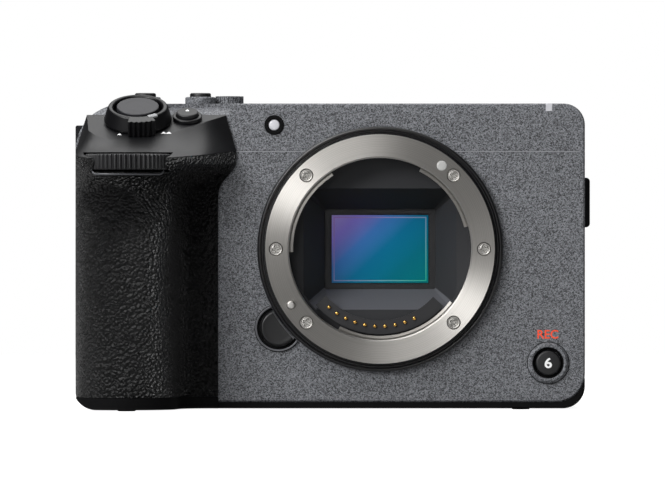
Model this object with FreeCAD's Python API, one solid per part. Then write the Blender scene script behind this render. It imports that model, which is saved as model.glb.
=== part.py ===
import FreeCAD, Part
import math
import os
from FreeCAD import Vector

# Compact cinema camera body with a bayonet for interchangeable lenses, in millimetres.
# X runs to the right as seen from the lens side, Y runs from the lens towards the screen, Z is up.
# The origin is the centre of the tripod socket's mouth, straight under the optical axis and the image plane.

# Case
left_reach = 77.1          # optical axis to the grip's outer side
right_reach = 51.9         # optical axis to the socket side
case_height = 77.2
axis_height = 40.35        # base to the optical axis
flange_focal = 18.0        # mounting face of the lens to the image plane
mount_stand = 4.0          # how far that face stands out of the front cover
back_reach = 40.0          # image plane to the back of the case
wall = 1.6
top_corner_r = 5.4
top_left_r = 12.0          # the case's upper corner behind the grip
low_corner_r = 5.6
low_left_r = 6.0
rear_edge_r = 2.0
front_edge = 0.4           # bevel round the front cover's face
seam_bevel = 0.2           # bevel along the front cover's upper edge
seam = 0.1                 # visible gap between the covers
base_rise = 1.6            # height of the black base cover seen from the front
split_depth = 12.0         # image plane to the joint between front and rear cover
top_cover_drop = 12.05     # height of the top cover
fit_gap = 0.15             # clearance round pieces that move
seat_gap = 0.05            # clearance of pieces that are fixed in a pocket

# Lens mount
throat_r = 23.05
throat_chamfer = 0.35
ring_outer_r = 29.0
ring_thick = 2.4
sleeve_thick = 1.35
sleeve_depth = 7.0
claw_inner_r = 22.0
claw_thick = 1.3
claw_lip = 0.65            # width of the raised lip along a claw's inner edge
claw_web = 0.4             # thickness of a claw beside its lip
claw_setback = 1.7         # mounting face to the front of the claws
claw_arcs = ((14.4, 63.2), (122.4, 182.0), (242.7, 323.3))
ring_screw_angles = (0, 45, 135, 180, 225, 315)
ring_screw_circle_r = 26.3
ring_screw_head_r = 1.68
ring_screw_head_h = 0.9
ring_screw_shank_r = 0.8
ring_screw_length = 6.4
ring_screw_sink = 0.35
bezel_outer_r = 31.05
bezel_width = 1.95
bezel_stand = 1.9
bezel_rib_width = 0.9
bezel_rib_height = 0.9
index_angle = 53.5
index_r = 1.3
lock_pin_angle = 212.2
lock_pin_circle_r = 26.6
lock_pin_r = 1.05
lock_pin_stand = 1.3
lock_pin_guide = 5.0       # length of pin guided behind the ring

# Lens release button
release_angle = 217.9
release_centre_r = 32.56
release_rim_r = 5.9
release_rim_width = 1.0
release_rim_stand = 0.7
release_cap_stand = 1.5
release_travel = 1.6

# Contacts and light baffle
pin_count = 10
pin_first_angle = 228.75
pin_pitch = 7.5
pin_circle_r = 19.6
pin_r = 0.45
pin_stand = 0.6
pin_travel = 0.4
block_inner_r = 18.1
block_outer_r = 21.6
block_arc = (221.0, 318.0)
block_front = 5.0          # mounting face to the contact block
pin_bury = 1.1             # how deep the pins sit in their block
baffle_r = 24.2
baffle_mouth_w = 39.4
baffle_mouth_h = 31.3
window_w = 27.7
window_h = 19.9
baffle_back = 1.6          # baffle's back face to the image plane

# Sensor and stabiliser
die_w = 24.6
die_h = 17.3
die_thick = 0.35
package_w = 31.0
package_h = 23.0
package_thick = 1.75
glass_thick = 0.6
glass_w = 31.0
glass_h = 23.0
glass_to_die = 0.5
carriage_w = 42.0
carriage_h = 32.0
carriage_plate = 1.2
frame_w = 52.0
frame_h = 42.0
frame_thick = 1.3
frame_rim = 8.0
shift_gap = 0.3
stabiliser_base_w = 60.0
stabiliser_base_h = 50.0
stabiliser_base_thick = 2.0
heat_plate_thick = 1.2
board_standoff = 0.9
chassis_thick = 2.6
chassis_below = 31.35      # optical axis to the chassis's lower edge
chassis_above = 26.0       # optical axis to its upper edge
chassis_reach = 34.0       # optical axis to the chassis's edge on the grip side
board_thick = 1.2
board_w = 81.0
board_edge_gap = 1.7       # side wall to the main board
board_h = 52.0
chip_thick = 1.5
# Chips on the board: left, low, width and height
chips = (
    (-24.0, 30.0, 12.0, 12.0),
    (-8.5, 34.0, 14.0, 14.0),
    (-22.0, 48.0, 9.0, 9.0),
    (-5.0, 16.0, 8.0, 10.0),
)

# Fan
fan_x = 22.0
fan_size = 30.0
fan_thick = 8.0
fan_blades = 9
fan_hub_r = 6.0
fan_tip_gap = 0.8
fan_wall = 1.2

# Grip
grip_skin = 0.8
grip_core_wall = 0.9
grip_nose_reach = 27.9     # front cover to the foremost point of the grip
grip_nose_left = 12.7      # grip's outer side to the line of its nose
grip_inner_left = 25.2     # grip's outer side to its inner side
grip_panel_left = 36.1     # grip's outer side to the edge of the flat leather
grip_panel_stand = 0.8
grip_side_draft = 0.45     # how far the grip's outer side leans in towards its front
grip_side_clear = 0.4      # room for the swell of the grip's outer side past the case's outline
grip_side_stand = 15.9     # cover to the narrowest point of the grip's inner side
grip_flare = 4.6           # how much further the grip reaches under the shoulder
grip_base_height = 3.0
deck_tilt = 25.0           # slope of the control deck on the grip
deck_rear_height = 74.8
deck_rear_stand = 1.0      # how far inside the front cover's plane the deck's rear height is measured
deck_step = 3.8            # how far the deck runs back into the top cover
shoulder_seam_rear = 65.2
shoulder_seam_front = 63.1
deck_side_lean = 0.08
shoulder_wall = 1.5

# Grip sections: height, share of the flare under the shoulder, and reach of the nose
grip_profile = (
    (0.0, 0.0, 24.5),
    (3.0, 0.0, 24.8),
    (13.0, 0.0, 26.4),
    (27.5, 0.0, 27.9),
    (40.0, 0.0, 27.6),
    (48.0, 0.0, 25.6),
    (53.7, 0.0, 22.6),
    (56.3, 0.1, 23.6),
    (58.9, 0.6, 26.8),
    (61.5, 1.0, 27.6),
    (66.5, 1.0, 26.5),
)
# Outline of the control deck: distance from the grip's outer side, and reach in front of the cover
deck_outline = (
    (38.1, 0.4),
    (32.8, 4.1),
    (28.0, 7.6),
    (24.4, 10.3),
    (20.8, 12.7),
    (16.8, 14.0),
    (12.0, 14.2),
    (6.9, 12.7),
    (3.6, 8.8),
)

# Front dial
dial_r = 11.0
dial_thick = 4.1
dial_height = 62.15
dial_stand = 1.3
dial_teeth = 54
dial_tooth_depth = 0.5
dial_slot_gap = 0.35
dial_axle_r = 1.2
dial_right = 1.3           # line of the grip's nose to the dial's axis
dial_shelf_z = 59.6
dial_shelf_thick = 1.4
axle_head_r = 2.2
axle_head_h = 0.5

# Zoom lever and release button on the deck
lever_x = -61.15
lever_run = 4.8            # deck's rear line to the lever's axis, measured level
lever_base_r = 8.6
lever_top_r = 7.4
lever_height = 4.0
lever_bore_r = 6.2
lever_lift = 0.3
lever_tab_width = 7.2
lever_tab_reach = 1.5
lever_tab_shift = 1.2
lever_tab_ribs = 5
lever_rib_pitch = 1.25
shutter_r = 5.4
shutter_thick = 1.6
stem_r = 1.3
lever_collar_drop = 0.9
deck_button_x = -48.7
deck_button_run = 3.4
deck_button_r = 2.8
deck_collar_r = 3.75
deck_collar_height = 1.1
deck_button_height = 2.1
button_travel = 0.5

# Top controls
top_control_y = 10.0
left_button_x = -60.1
right_button_x = -46.0
top_button_r = 2.7
top_collar_r = 3.9
top_collar_height = 2.1
top_button_height = 3.1
switch_x = -38.6
switch_back = 2.5          # how far the switch sits behind the buttons' row
switch_r = 3.6
switch_height = 2.2
rear_dial_r = 8.5
rear_dial_thick = 4.6
rear_dial_inset = 13.5     # grip's outer side to the rear dial's axis
rear_dial_drop = 9.0       # case's top to the rear dial's lower face
rear_dial_stand = 1.2      # how far its rim stands out of the back

# Front details
record_x = 42.6
record_height = 11.5
record_bezel_r = 5.2
record_bezel_bore_r = 3.95
record_bezel_stand = 1.0
record_cap_r = 3.15
record_cap_stand = 0.6
record_travel = 0.5
lamp_x = -26.8
lamp_height = 71.75
lamp_ring_r = 2.5
lamp_lens_r = 1.35
tally_x = 42.8
tally_w = 1.7
tally_h = 2.0
tally_depth = 1.6

# Strap lugs
lug_height = 12.7
lug_right_stand = 1.8
lug_left_stand = 0.8
lug_depth = 2.6
lug_y = 8.0
lug_slot_height = 7.0
lug_right_height = 52.25
lug_left_height = 65.6
lug_sink = 1.5
lug_floor = 0.4
lug_pad_half = 3.9
lug_bar_sink = 0.1         # wall's face to the inner side of a lug's bar

# Screws, feet and threaded bushes
foot_r = 2.2
foot_stand = 0.3
screw_head_r = 1.6
screw_head_h = 0.8
screw_length = 5.0
screw_shank_r = 0.75
thread_r = 2.55            # wall of a hole tapped for a quarter-inch screw
bush_r = 4.2
bush_depth = 6.0
socket_boss_r = 9.0
foot_right_x = 35.7
foot_left_x = -63.5
top_threads = ((38.0, 4.0), (38.0, 26.0), (-24.0, 12.0))
side_thread_y = 18.5
side_thread_drop = 6.7     # case's top to the side thread's axis
base_screws = ((48.2, -9.9), (48.2, 35.9), (-24.0, -9.9), (-24.0, 35.9))
screw_post_r = 2.7
screw_post_h = 6.0

# Battery and doors
battery_w = 22.7
battery_d = 38.7
battery_h = 51.6
battery_gap = 0.25
door_thick = 1.4
knuckle_r = 0.7
pin_rod_r = 0.35
door_gap = 0.15
door_sink = 0.05           # wall's face to the top of a door's hinge barrel
pin_grip = 1.0             # how far a hinge rod reaches into the wall at each end
run_gap = 0.04             # radial clearance of a pin in its bore
battery_door_thick = 2.4
battery_barrel_r = 1.0
leaf_swing = 0.5           # room behind the battery door's rear edge, which swings back as it opens
battery_base = 4.6         # base to the underside of the battery
battery_left = 2.4         # grip's outer side to the battery
battery_front = 11.0       # front cover's face to the battery's front
battery_corner_r = 3.0
latch_w = 9.0
latch_l = 5.0
latch_thick = 1.0
latch_travel = 2.0
latch_sink = 0.1
card_door_h = 36.0
card_door_w = 22.0
card_door_low = 14.0
card_slot_h = 24.6
card_slot_w = 2.4
port_door_w = 18.0
audio_door_h = 13.0
data_door_h = 22.0
port_door_low = 10.0
door_ledge = 1.4
side_door_y = 15.4
door_spacing = 2.4
card_reader_l = 24.0
card_reader_w = 13.0
card_reader_h = 34.8       # taller than the window in the wall, so that it rests on the wall's ledge
socket_length = 9.0
port_board_w = 17.0
jack_bore_r = 1.8
vent_count = 9
vent_pitch = 2.1
vent_length = 9.0

# Rear
bay_left = -25.0           # left end of the screen's bay
bay_low = 11.2
bay_high = 62.8
bay_depth = 4.2
screen_thick = 6.0
screen_low = 12.0
screen_high = 62.0
screen_left = -23.5
screen_near_hinge = 3.5    # hinge axis to the panel's near edge
screen_stand = 2.3         # how far the screen stands out of the case's back
hinge_relief_r = 5.1
hinge_wall = 1.4           # wall left behind the hollow that the screen's edge turns in
hinge_web = 3.6
hinge_inset = 3.3          # socket side to the screen's hinge axis
hinge_r = 2.7
hinge_rod_r = 1.0
hinge_knuckle_h = 6.0
hinge_arm_h = 28.0
screen_glass_w = 60.0
screen_glass_h = 41.0
screen_glass_thick = 1.2
arm_tongue = 6.0
arm_thick = 2.0
wheel_x = -50.0
wheel_height = 27.0
wheel_r = 11.0
wheel_bore_r = 5.5
wheel_stand = 0.9
wheel_thick = 2.4
centre_r = 4.6
stick_x = -44.0
stick_height = 50.5
stick_r = 3.6
stick_bore_r = 5.2
stick_cap_low = 0.5
stick_cap_thick = 1.8
rear_button_r = 2.6
rear_button_stand = 0.6
rear_button_places = (
    ("assist_button", -31.5, 42.0),
    ("playback_button", -31.5, 14.0),
    ("delete_button", -61.5, 10.6),
)

# Accessory shoe
shoe_x = 0.0
shoe_slot_w = 18.8
shoe_mouth_w = 12.8
shoe_slot_h = 2.1
shoe_sheet = 0.9
shoe_length = 20.0
shoe_sink = 0.6
shoe_side_room = 0.7
shoe_pocket_depth = 4.3
shoe_stop = 2.0



# Positions that follow from the sizes above
case_left = -left_reach
case_right = right_reach
case_top = case_height
case_front = mount_stand - flange_focal
case_back = back_reach
flange_y = -flange_focal
seam_height = case_top - top_cover_drop
bay_floor = case_back - bay_depth
deck_slope = math.tan(math.radians(deck_tilt))
deck_rear_y = case_front + deck_rear_stand
deck_normal = Vector(0, -math.sin(math.radians(deck_tilt)), math.cos(math.radians(deck_tilt)))
forward = Vector(0, -1, 0)
back = Vector(0, 1, 0)
up = Vector(0, 0, 1)
down = Vector(0, 0, -1)
beyond = 200.0             # larger than the whole camera, for cutting tools


def block(x0, x1, y0, y1, z0, z1):
    return Part.makeBox(x1 - x0, y1 - y0, z1 - z0, Vector(x0, y0, z0))


def rod(radius, start, direction, length):
    return Part.makeCylinder(radius, length, start, direction)


def tube(outer, inner, start, direction, length):
    return rod(outer, start, direction, length).cut(rod(inner, start, direction, length))


def on_axis(y, radius=0.0, angle=0.0):
    """A point at the given radius and angle round the optical axis."""
    a = math.radians(angle)
    return Vector(radius * math.cos(a), y, axis_height + radius * math.sin(a))


def rounded_outline(x0, x1, z0, z1, radii, y):
    """Rectangle in an upright plane with radii for top left, top right, low right and low left."""
    tl, tr, br, bl = radii
    corners = (
        (x0, z1, tl, 1, -1),
        (x1, z1, tr, -1, -1),
        (x1, z0, br, -1, 1),
        (x0, z0, bl, 1, 1),
    )
    edges = []
    ends = []
    half = math.sqrt(0.5)
    for index, (x, z, r, sx, sz) in enumerate(corners):
        beside = Vector(x, y, z + sz * r)
        level = Vector(x + sx * r, y, z)
        middle = Vector(x + sx * r * (1 - half), y, z + sz * r * (1 - half))
        first, last = (beside, level) if index % 2 == 0 else (level, beside)
        ends.append((first, last))
        if r > 0:
            edges.append(Part.Arc(first, middle, last).toShape())
    for index in range(4):
        start = ends[index][1]
        end = ends[(index + 1) % 4][0]
        if start.distanceToPoint(end) > 1e-6:
            edges.append(Part.makeLine(start, end))
    return Part.Wire(Part.__sortEdges__(edges))


def slab(x0, x1, z0, z1, radii, y0, y1):
    """Upright plate with rounded corners, from y0 back to y1."""
    return Part.Face(rounded_outline(x0, x1, z0, z1, radii, y0)).extrude(Vector(0, y1 - y0, 0))


def arc_sector(inner, outer, start_deg, end_deg, y0, y1):
    """Part of a ring round the optical axis."""
    ring = tube(outer, inner, on_axis(y0), back, y1 - y0)
    far = outer * 3
    middle = (start_deg + end_deg) / 2
    corners = [on_axis(y0), on_axis(y0, far, start_deg), on_axis(y0, far, middle)]
    corners += [on_axis(y0, far, end_deg), on_axis(y0)]
    wedge = Part.Face(Part.makePolygon(corners)).extrude(Vector(0, y1 - y0, 0))
    return ring.common(wedge)


def fused(pieces):
    result = pieces[0]
    for piece in pieces[1:]:
        result = result.fuse(piece)
    return result.removeSplitter()


def cut_all(shape, tools):
    for tool in tools:
        shape = shape.cut(tool)
    return shape


def one_solid(shape):
    """The largest solid of a shape, which drops slivers left by a cut."""
    return max(shape.Solids, key=lambda s: s.Volume)


nodes = {}


def keep(name, shape):
    """Stores a named piece; a list is a group of separate solids."""
    nodes[name] = Part.makeCompound(shape) if isinstance(shape, list) else shape


# A door is a plate on a rod along one edge, flush with the wall that it closes.
def door_parts(width, length, thick, barrel_r, place):
    """Leaf, hinge rod, pocket and rod hole, from a frame whose X leads away from the hinge line,
    Y runs along it and Z points out of the wall. The origin is the pocket's corner on the outer face."""
    axis = Vector(barrel_r + door_gap, 0, -barrel_r - door_sink)
    leaf = block(axis.x, width, 0, length, -thick, 0).fuse(rod(barrel_r, axis, back, length))
    leaf = leaf.removeSplitter().cut(rod(pin_rod_r + run_gap, axis - back, back, length + 2))
    pocket = block(0, width + door_gap, -door_gap, length + door_gap, -thick - door_gap, 1.0)
    pin = rod(pin_rod_r, axis - back * pin_grip, back, length + 2 * pin_grip)
    pin_hole = rod(pin_rod_r + 0.01, axis - back * (pin_grip + 0.1), back, length + 2 * pin_grip + 0.2)
    return [placed(shape, place) for shape in (leaf, pin, pocket, pin_hole)]


def placed(shape, place):
    moved = shape.copy()
    moved.Placement = place.multiply(moved.Placement)
    return moved


def placement(origin, x_dir, z_dir):
    """Placement of a frame with the given origin, X and Z directions."""
    y_dir = z_dir.cross(x_dir)
    return FreeCAD.Placement(FreeCAD.Matrix(
        x_dir.x, y_dir.x, z_dir.x, origin.x,
        x_dir.y, y_dir.y, z_dir.y, origin.y,
        x_dir.z, y_dir.z, z_dir.z, origin.z,
        0, 0, 0, 1,
    ))


def deck_point(x, run, lift=0.0):
    """A point on the sloping control deck, run millimetres in front of its rear line."""
    on_deck = Vector(x, deck_rear_y - run, deck_rear_height - run * deck_slope)
    return on_deck + deck_normal * lift


def above_deck(lift=0.0, y_limit=beyond):
    """Everything above the deck's plane raised by lift, in front of y_limit."""
    rear = deck_rear_height + lift / math.cos(math.radians(deck_tilt))
    front_end = -beyond
    rear_end = min(y_limit, beyond)
    outline = Part.makePolygon([
        Vector(-beyond, front_end, rear + (front_end - deck_rear_y) * deck_slope),
        Vector(-beyond, rear_end, rear + (rear_end - deck_rear_y) * deck_slope),
        Vector(-beyond, rear_end, 2 * beyond),
        Vector(-beyond, front_end, 2 * beyond),
        Vector(-beyond, front_end, rear + (front_end - deck_rear_y) * deck_slope),
    ])
    return Part.Face(outline).extrude(Vector(2 * beyond, 0, 0))


def seam_z(y, drop=0.0):
    """Height of the joint between the leather and the shoulder above it."""
    run = case_front - y
    total = grip_nose_reach - 3.5
    return shoulder_seam_rear - (shoulder_seam_rear - shoulder_seam_front) * run / total - drop


def above_seam(drop=0.0):
    front_end = case_front - 60.0
    rear_end = case_front + 60.0
    outline = Part.makePolygon([
        Vector(-beyond, front_end, seam_z(front_end, drop)),
        Vector(-beyond, rear_end, seam_z(rear_end, drop)),
        Vector(-beyond, rear_end, beyond),
        Vector(-beyond, front_end, beyond),
        Vector(-beyond, front_end, seam_z(front_end, drop)),
    ])
    return Part.Face(outline).extrude(Vector(2 * beyond, 0, 0))


# Covers of the case
def case_prism(inset, y0, y1, z0, z1):
    """The case's outline as seen from the front, drawn in by inset and limited to z0..z1."""
    radii = [max(r - inset, 0.3) for r in (top_left_r, top_corner_r, low_corner_r, low_left_r)]
    whole = slab(case_left + inset, case_right - inset, inset, case_top - inset, radii, y0, y1)
    return whole.common(block(-beyond, beyond, y0, y1, z0, z1))


def cover_prism(inset, y0, y1, z0, z1):
    """The outline of the painted covers, which leave a crescent of the base cover at the low corners."""
    radii = (top_left_r, top_corner_r, low_corner_r + base_rise, low_left_r + base_rise)
    radii = [max(r - inset, 0.3) for r in radii]
    low = base_rise + inset
    whole = slab(case_left + inset, case_right - inset, low, case_top - inset, radii, y0, y1)
    return whole.common(block(-beyond, beyond, y0, y1, z0, z1))


def edged(body):
    """Case body with its front edge bevelled and its back edge rounded."""
    def rim(solid, y):
        return [e for e in solid.Edges if all(abs(v.Y - y) < 1e-6 for v in e.Vertexes)]
    rounded = body.makeFillet(rear_edge_r, rim(body, case_back))
    return rounded.makeChamfer(front_edge, rim(rounded, case_front))


def bare_cover(y0, y1, z0, z1, front_wall, back_wall):
    outer = covers_whole.common(block(-beyond, beyond, y0, y1, z0, z1))
    inner_low = -1.0 if z0 <= base_rise else z0 - 1.0
    inner_y0 = y0 + wall if front_wall else y0 - 1.0
    inner_y1 = y1 - wall if back_wall else y1 + 1.0
    inner = cover_prism(wall, inner_y0, inner_y1, 0, beyond)
    open_base = block(case_left + low_left_r, case_right - low_corner_r, inner_y0, inner_y1, 0, wall * 3)
    open_base = open_base.common(block(-beyond, beyond, -beyond, beyond, inner_low, beyond))
    return outer.cut(inner.fuse(open_base))


def screw_site(x, y, z, direction):
    """Case screw and the countersunk seat to cut for it."""
    head = Part.makeCone(screw_head_r, screw_shank_r, screw_head_h, Vector(x, y, z), direction)
    shank = rod(screw_shank_r, Vector(x, y, z), direction, screw_length)
    seat = Part.makeCone(screw_head_r + 0.03, screw_shank_r + 0.03, screw_head_h + 0.02,
                         Vector(x, y, z), direction)
    hole = rod(screw_shank_r + 0.02, Vector(x, y, z), direction, screw_length + 0.3)
    return head.fuse(shank).removeSplitter(), seat.fuse(hole)


fixings = []
seam_low = seam_height - seam
covers_whole = edged(cover_prism(0, case_front, case_back, 0, beyond))
case_whole = edged(case_prism(0, case_front, case_back, 0, beyond))
front = bare_cover(case_front, split_depth, base_rise, seam_low, True, False)
bevel_outline = Part.makePolygon([
    Vector(-beyond, case_front - 0.1, seam_low - seam_bevel - 0.1),
    Vector(-beyond, case_front + seam_bevel + 0.1, seam_low + 0.1),
    Vector(-beyond, case_front - 0.1, seam_low + 0.1),
    Vector(-beyond, case_front - 0.1, seam_low - seam_bevel - 0.1),
])
front = front.cut(Part.Face(bevel_outline).extrude(Vector(2 * beyond, 0, 0)))
rear = bare_cover(split_depth + seam, case_back, base_rise, seam_low, False, True)
top = bare_cover(case_front, case_back, seam_height, case_top, True, True)

# Ceiling of the top cover, and the walls of the step where the control deck runs back into it
deck_edge_x = case_left + grip_panel_left + 3.0
step_back_y = case_front + deck_step
step_walls = covers_whole.common(block(case_left, deck_edge_x + wall, case_front, step_back_y + wall,
                                      seam_height, case_top))
top = top.fuse(step_walls)
step_cut = above_deck().common(block(-beyond, deck_edge_x, -beyond, step_back_y, 0, beyond))
step_room = block(case_left + wall, deck_edge_x - 0.4, case_front + wall, step_back_y + 0.2, 0, beyond)
step_room = step_room.cut(above_deck(-wall))
top = cut_all(top, [step_cut, step_room])
lever_pocket = rod(lever_base_r + 0.5, deck_point(lever_x, lever_run, 0.05), deck_normal, 30.0)
top = top.cut(lever_pocket.common(block(-beyond, beyond, case_front - 0.5, beyond, 0, beyond)))

# Bay for the screen in the rear cover
hinge_x = case_right - hinge_inset
hinge_y = case_back + screen_stand - screen_thick / 2
bay_top = bay_high + 0.8
bay_block = block(bay_left - wall, case_right, bay_floor - wall, case_back, bay_low - wall, bay_top)
bay_block = bay_block.fuse(block(hinge_x - hinge_relief_r - wall, case_right, hinge_y - hinge_relief_r - hinge_wall,
                                 case_back, bay_low - wall, bay_top))
rear_room = block(-beyond, beyond, split_depth, case_back, 0, seam_low)
rear = rear.fuse(bay_block.common(covers_whole).common(rear_room))
rear = rear.cut(block(bay_left, beyond, bay_floor, beyond, bay_low, bay_high))
arm_low = (screen_low + screen_high - hinge_arm_h) / 2
arm_high = arm_low + hinge_arm_h
hinge_relief = rod(hinge_relief_r, Vector(hinge_x, hinge_y, screen_low - 0.5), up,
                   screen_high - screen_low + 1.0)
rear = rear.cut(hinge_relief)
for low in (arm_low - hinge_knuckle_h - 0.2, arm_high + 0.2):
    knuckle = rod(hinge_r, Vector(hinge_x, hinge_y, low), up, hinge_knuckle_h)
    web = block(hinge_x - hinge_web / 2, hinge_x + hinge_web / 2, bay_floor - wall, hinge_y,
                low, low + hinge_knuckle_h)
    rear = rear.fuse(knuckle.fuse(web))
hinge_rod_low = arm_low - hinge_knuckle_h
hinge_rod = rod(hinge_rod_r, Vector(hinge_x, hinge_y, hinge_rod_low), up,
                hinge_arm_h + 2 * hinge_knuckle_h)
rear = rear.cut(rod(hinge_rod_r + 0.01, Vector(hinge_x, hinge_y, hinge_rod_low - 0.1), up,
                    hinge_arm_h + 2 * hinge_knuckle_h + 0.2))
fixings.append(hinge_rod)


# Base cover with its feet
base = case_whole.common(block(-beyond, beyond, case_front, case_back, 0, base_rise + low_left_r))
base = base.cut(cover_prism(-seam, case_front - 1, case_back + 1, 0, beyond).cut(
    block(-beyond, beyond, case_front - 1, case_back + 1, 0, base_rise)))


# Lens mount
claw_front = flange_y + claw_setback
claw_back = claw_front + claw_thick
claws = []
for start, end in claw_arcs:
    claws.append(arc_sector(claw_inner_r, throat_r + 0.3, start, end, claw_back - claw_web, claw_back))
    claws.append(arc_sector(claw_inner_r, claw_inner_r + claw_lip, start, end, claw_front, claw_back))
boss_front = flange_y + ring_thick
sleeve_r = throat_r + sleeve_thick
ring = tube(ring_outer_r, throat_r, on_axis(flange_y), back, ring_thick)
sleeve = tube(sleeve_r, throat_r, on_axis(boss_front), back, sleeve_depth - ring_thick)
ring = fused([ring, sleeve] + claws)
ring = ring.cut(Part.makeCone(throat_r + throat_chamfer, throat_r, throat_chamfer, on_axis(flange_y), back))
ring_screws = []
for angle in ring_screw_angles:
    head_at = on_axis(flange_y + ring_screw_sink, ring_screw_circle_r, angle)
    seat_at = on_axis(flange_y - 1, ring_screw_circle_r, angle)
    head = rod(ring_screw_head_r, head_at, back, ring_screw_head_h)
    slot_cross = rod(ring_screw_head_r * 0.42, head_at, back, ring_screw_head_h * 0.6)
    shank = rod(ring_screw_shank_r, head_at, back, ring_screw_length)
    ring_screws.append(head.fuse(shank).removeSplitter().cut(slot_cross))
    seat_depth = 1 + ring_screw_sink + ring_screw_head_h
    ring = ring.cut(rod(ring_screw_head_r + 0.1, seat_at, back, seat_depth))
    ring = ring.cut(rod(ring_screw_shank_r + 0.04, seat_at, back, ring_thick + 2))
keep("mount_screws", ring_screws)

dot_place = on_axis(flange_y, ring_screw_circle_r - 0.1, index_angle)
keep("index_dot", rod(index_r, dot_place, back, 0.4))
ring = ring.cut(rod(index_r + 0.01, dot_place - back, back, 1.4))

lock_at = on_axis(flange_y - lock_pin_stand, lock_pin_circle_r, lock_pin_angle)
lock_hole_r = lock_pin_r + run_gap * 2
lock_length = lock_pin_stand + ring_thick + lock_pin_guide
ring = ring.cut(rod(lock_hole_r, on_axis(flange_y - 1, lock_pin_circle_r, lock_pin_angle), back, 6))
keep("lock_pin", rod(lock_pin_r, lock_at, back, lock_length))
keep("mount_ring", ring)

# Chassis that carries the mount, the sensor and the boards
plate_y0 = case_front + wall + 0.2
plate_y1 = plate_y0 + chassis_thick
boss_r = ring_outer_r - 0.25
chassis = block(-chassis_reach, case_right - wall - 0.7, plate_y0, plate_y1,
                axis_height - chassis_below, axis_height + chassis_above)
chassis = chassis.fuse(rod(boss_r, on_axis(boss_front), back, plate_y1 - boss_front))
chassis = chassis.cut(rod(sleeve_r + 0.1, on_axis(boss_front - 1), back, 20))
for angle in ring_screw_angles:
    chassis = chassis.cut(rod(ring_screw_shank_r + 0.02, on_axis(boss_front - 1, ring_screw_circle_r, angle),
                              back, flange_y + ring_screw_sink + ring_screw_length + 0.2 - boss_front + 1))
chassis = chassis.cut(rod(lock_hole_r, on_axis(boss_front - 1, lock_pin_circle_r, lock_pin_angle), back, 20))
boss_hole = rod(boss_r + 0.2, on_axis(case_front - 1), back, wall + 2)
front = front.cut(boss_hole)
top = top.cut(boss_hole)

# Sensor stack, from the cover glass back to the heat plate
die_y = 0.0
package_front = die_y - glass_to_die
package_back = package_front + package_thick + glass_to_die


def centred(width, height, y0, y1, radius=0.0):
    half_w = width / 2
    low = axis_height - height / 2
    return slab(-half_w, half_w, low, low + height, [radius] * 4, y0, y1)


keep("sensor_glass", centred(glass_w, glass_h, package_front - glass_thick, package_front))
keep("sensor_die", centred(die_w, die_h, die_y, die_y + die_thick))
carriage_front = package_front + 0.9
carriage_back = package_back + carriage_plate
carriage = centred(carriage_w, carriage_h, carriage_front, carriage_back, 2.0)
carriage = carriage.fuse(centred(package_w, package_h, package_front, carriage_back))
carriage = carriage.cut(centred(die_w + 0.8, die_h + 0.8, package_front - 1, die_y + die_thick))
keep("sensor_carriage", carriage.removeSplitter())
frame_front = carriage_back + shift_gap
x_frame = centred(frame_w, frame_h, frame_front, frame_front + frame_thick, 2.5)
x_frame = x_frame.cut(centred(frame_w - 2 * frame_rim, frame_h - 2 * frame_rim, frame_front - 1,
                              frame_front + frame_thick + 1, 2.0))
keep("stabiliser_frame", x_frame)
holder_front = frame_front + frame_thick + shift_gap
holder_back = holder_front + stabiliser_base_thick + heat_plate_thick
holder = centred(stabiliser_base_w, stabiliser_base_h, holder_front, holder_back, 2.0)
board_front = holder_back + board_standoff
post_x = stabiliser_base_w / 2 - 1.7
post_z = stabiliser_base_h / 2 - 1.7
board_x0 = case_right - wall - board_edge_gap - board_w
board_z0 = axis_height - board_h / 2 - 6.0
for side_x in (-1, 1):
    for side_z in (-1, 1):
        at = Vector(side_x * post_x, plate_y1, axis_height + side_z * post_z)
        chassis = chassis.fuse(rod(1.5, at, back, holder_front - plate_y1))
        stand = Vector(side_x * post_x * 0.7, holder_back, axis_height + side_z * post_z * 0.5)
        holder = holder.fuse(rod(1.8, stand, back, board_standoff))
keep("stabiliser_base", holder)
keep("chassis", chassis.removeSplitter())

# Main board and fan
board_back = board_front + board_thick
board = block(board_x0, board_x0 + board_w, board_front, board_back, board_z0, board_z0 + board_h)
for x, z, w, h in chips:
    board = board.fuse(block(x, x + w, board_back, board_back + chip_thick, z, z + h))
keep("main_board", board.removeSplitter())
fan_z = axis_height - 3.0
fan_bore_r = fan_size / 2 - fan_wall
fan_at = Vector(fan_x, board_back, fan_z)
housing = slab(fan_x - fan_size / 2, fan_x + fan_size / 2, fan_z - fan_size / 2, fan_z + fan_size / 2,
               [2.0] * 4, board_back, board_back + fan_thick)
housing = housing.cut(rod(fan_bore_r, fan_at + back * fan_wall, back, fan_thick))
housing = housing.fuse(rod(1.0, fan_at, back, fan_thick - 0.8))
keep("fan_housing", housing)
rotor_at = fan_at + back * (fan_wall + 0.3)
rotor_depth = fan_thick - fan_wall - 0.9
rotor = rod(fan_hub_r, rotor_at, back, rotor_depth)
blade_reach = fan_bore_r - fan_tip_gap
for index in range(fan_blades):
    blade = block(fan_hub_r - 1.0, blade_reach, -0.5, 0.5, 0, rotor_depth)
    blade.rotate(Vector(), Vector(1, 0, 0), 24)
    blade = blade.common(block(0, blade_reach, -5, 5, 0.1, rotor_depth - 0.1))
    blade.rotate(Vector(), Vector(1, 0, 0), -90)
    blade.rotate(Vector(), back, index * 360.0 / fan_blades)
    blade.translate(rotor_at)
    rotor = rotor.fuse(blade)
rotor = rotor.common(rod(blade_reach, rotor_at, back, rotor_depth))
keep("fan_rotor", one_solid(rotor.removeSplitter().cut(rod(1.0 + run_gap, rotor_at - back, back, 20))))

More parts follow.
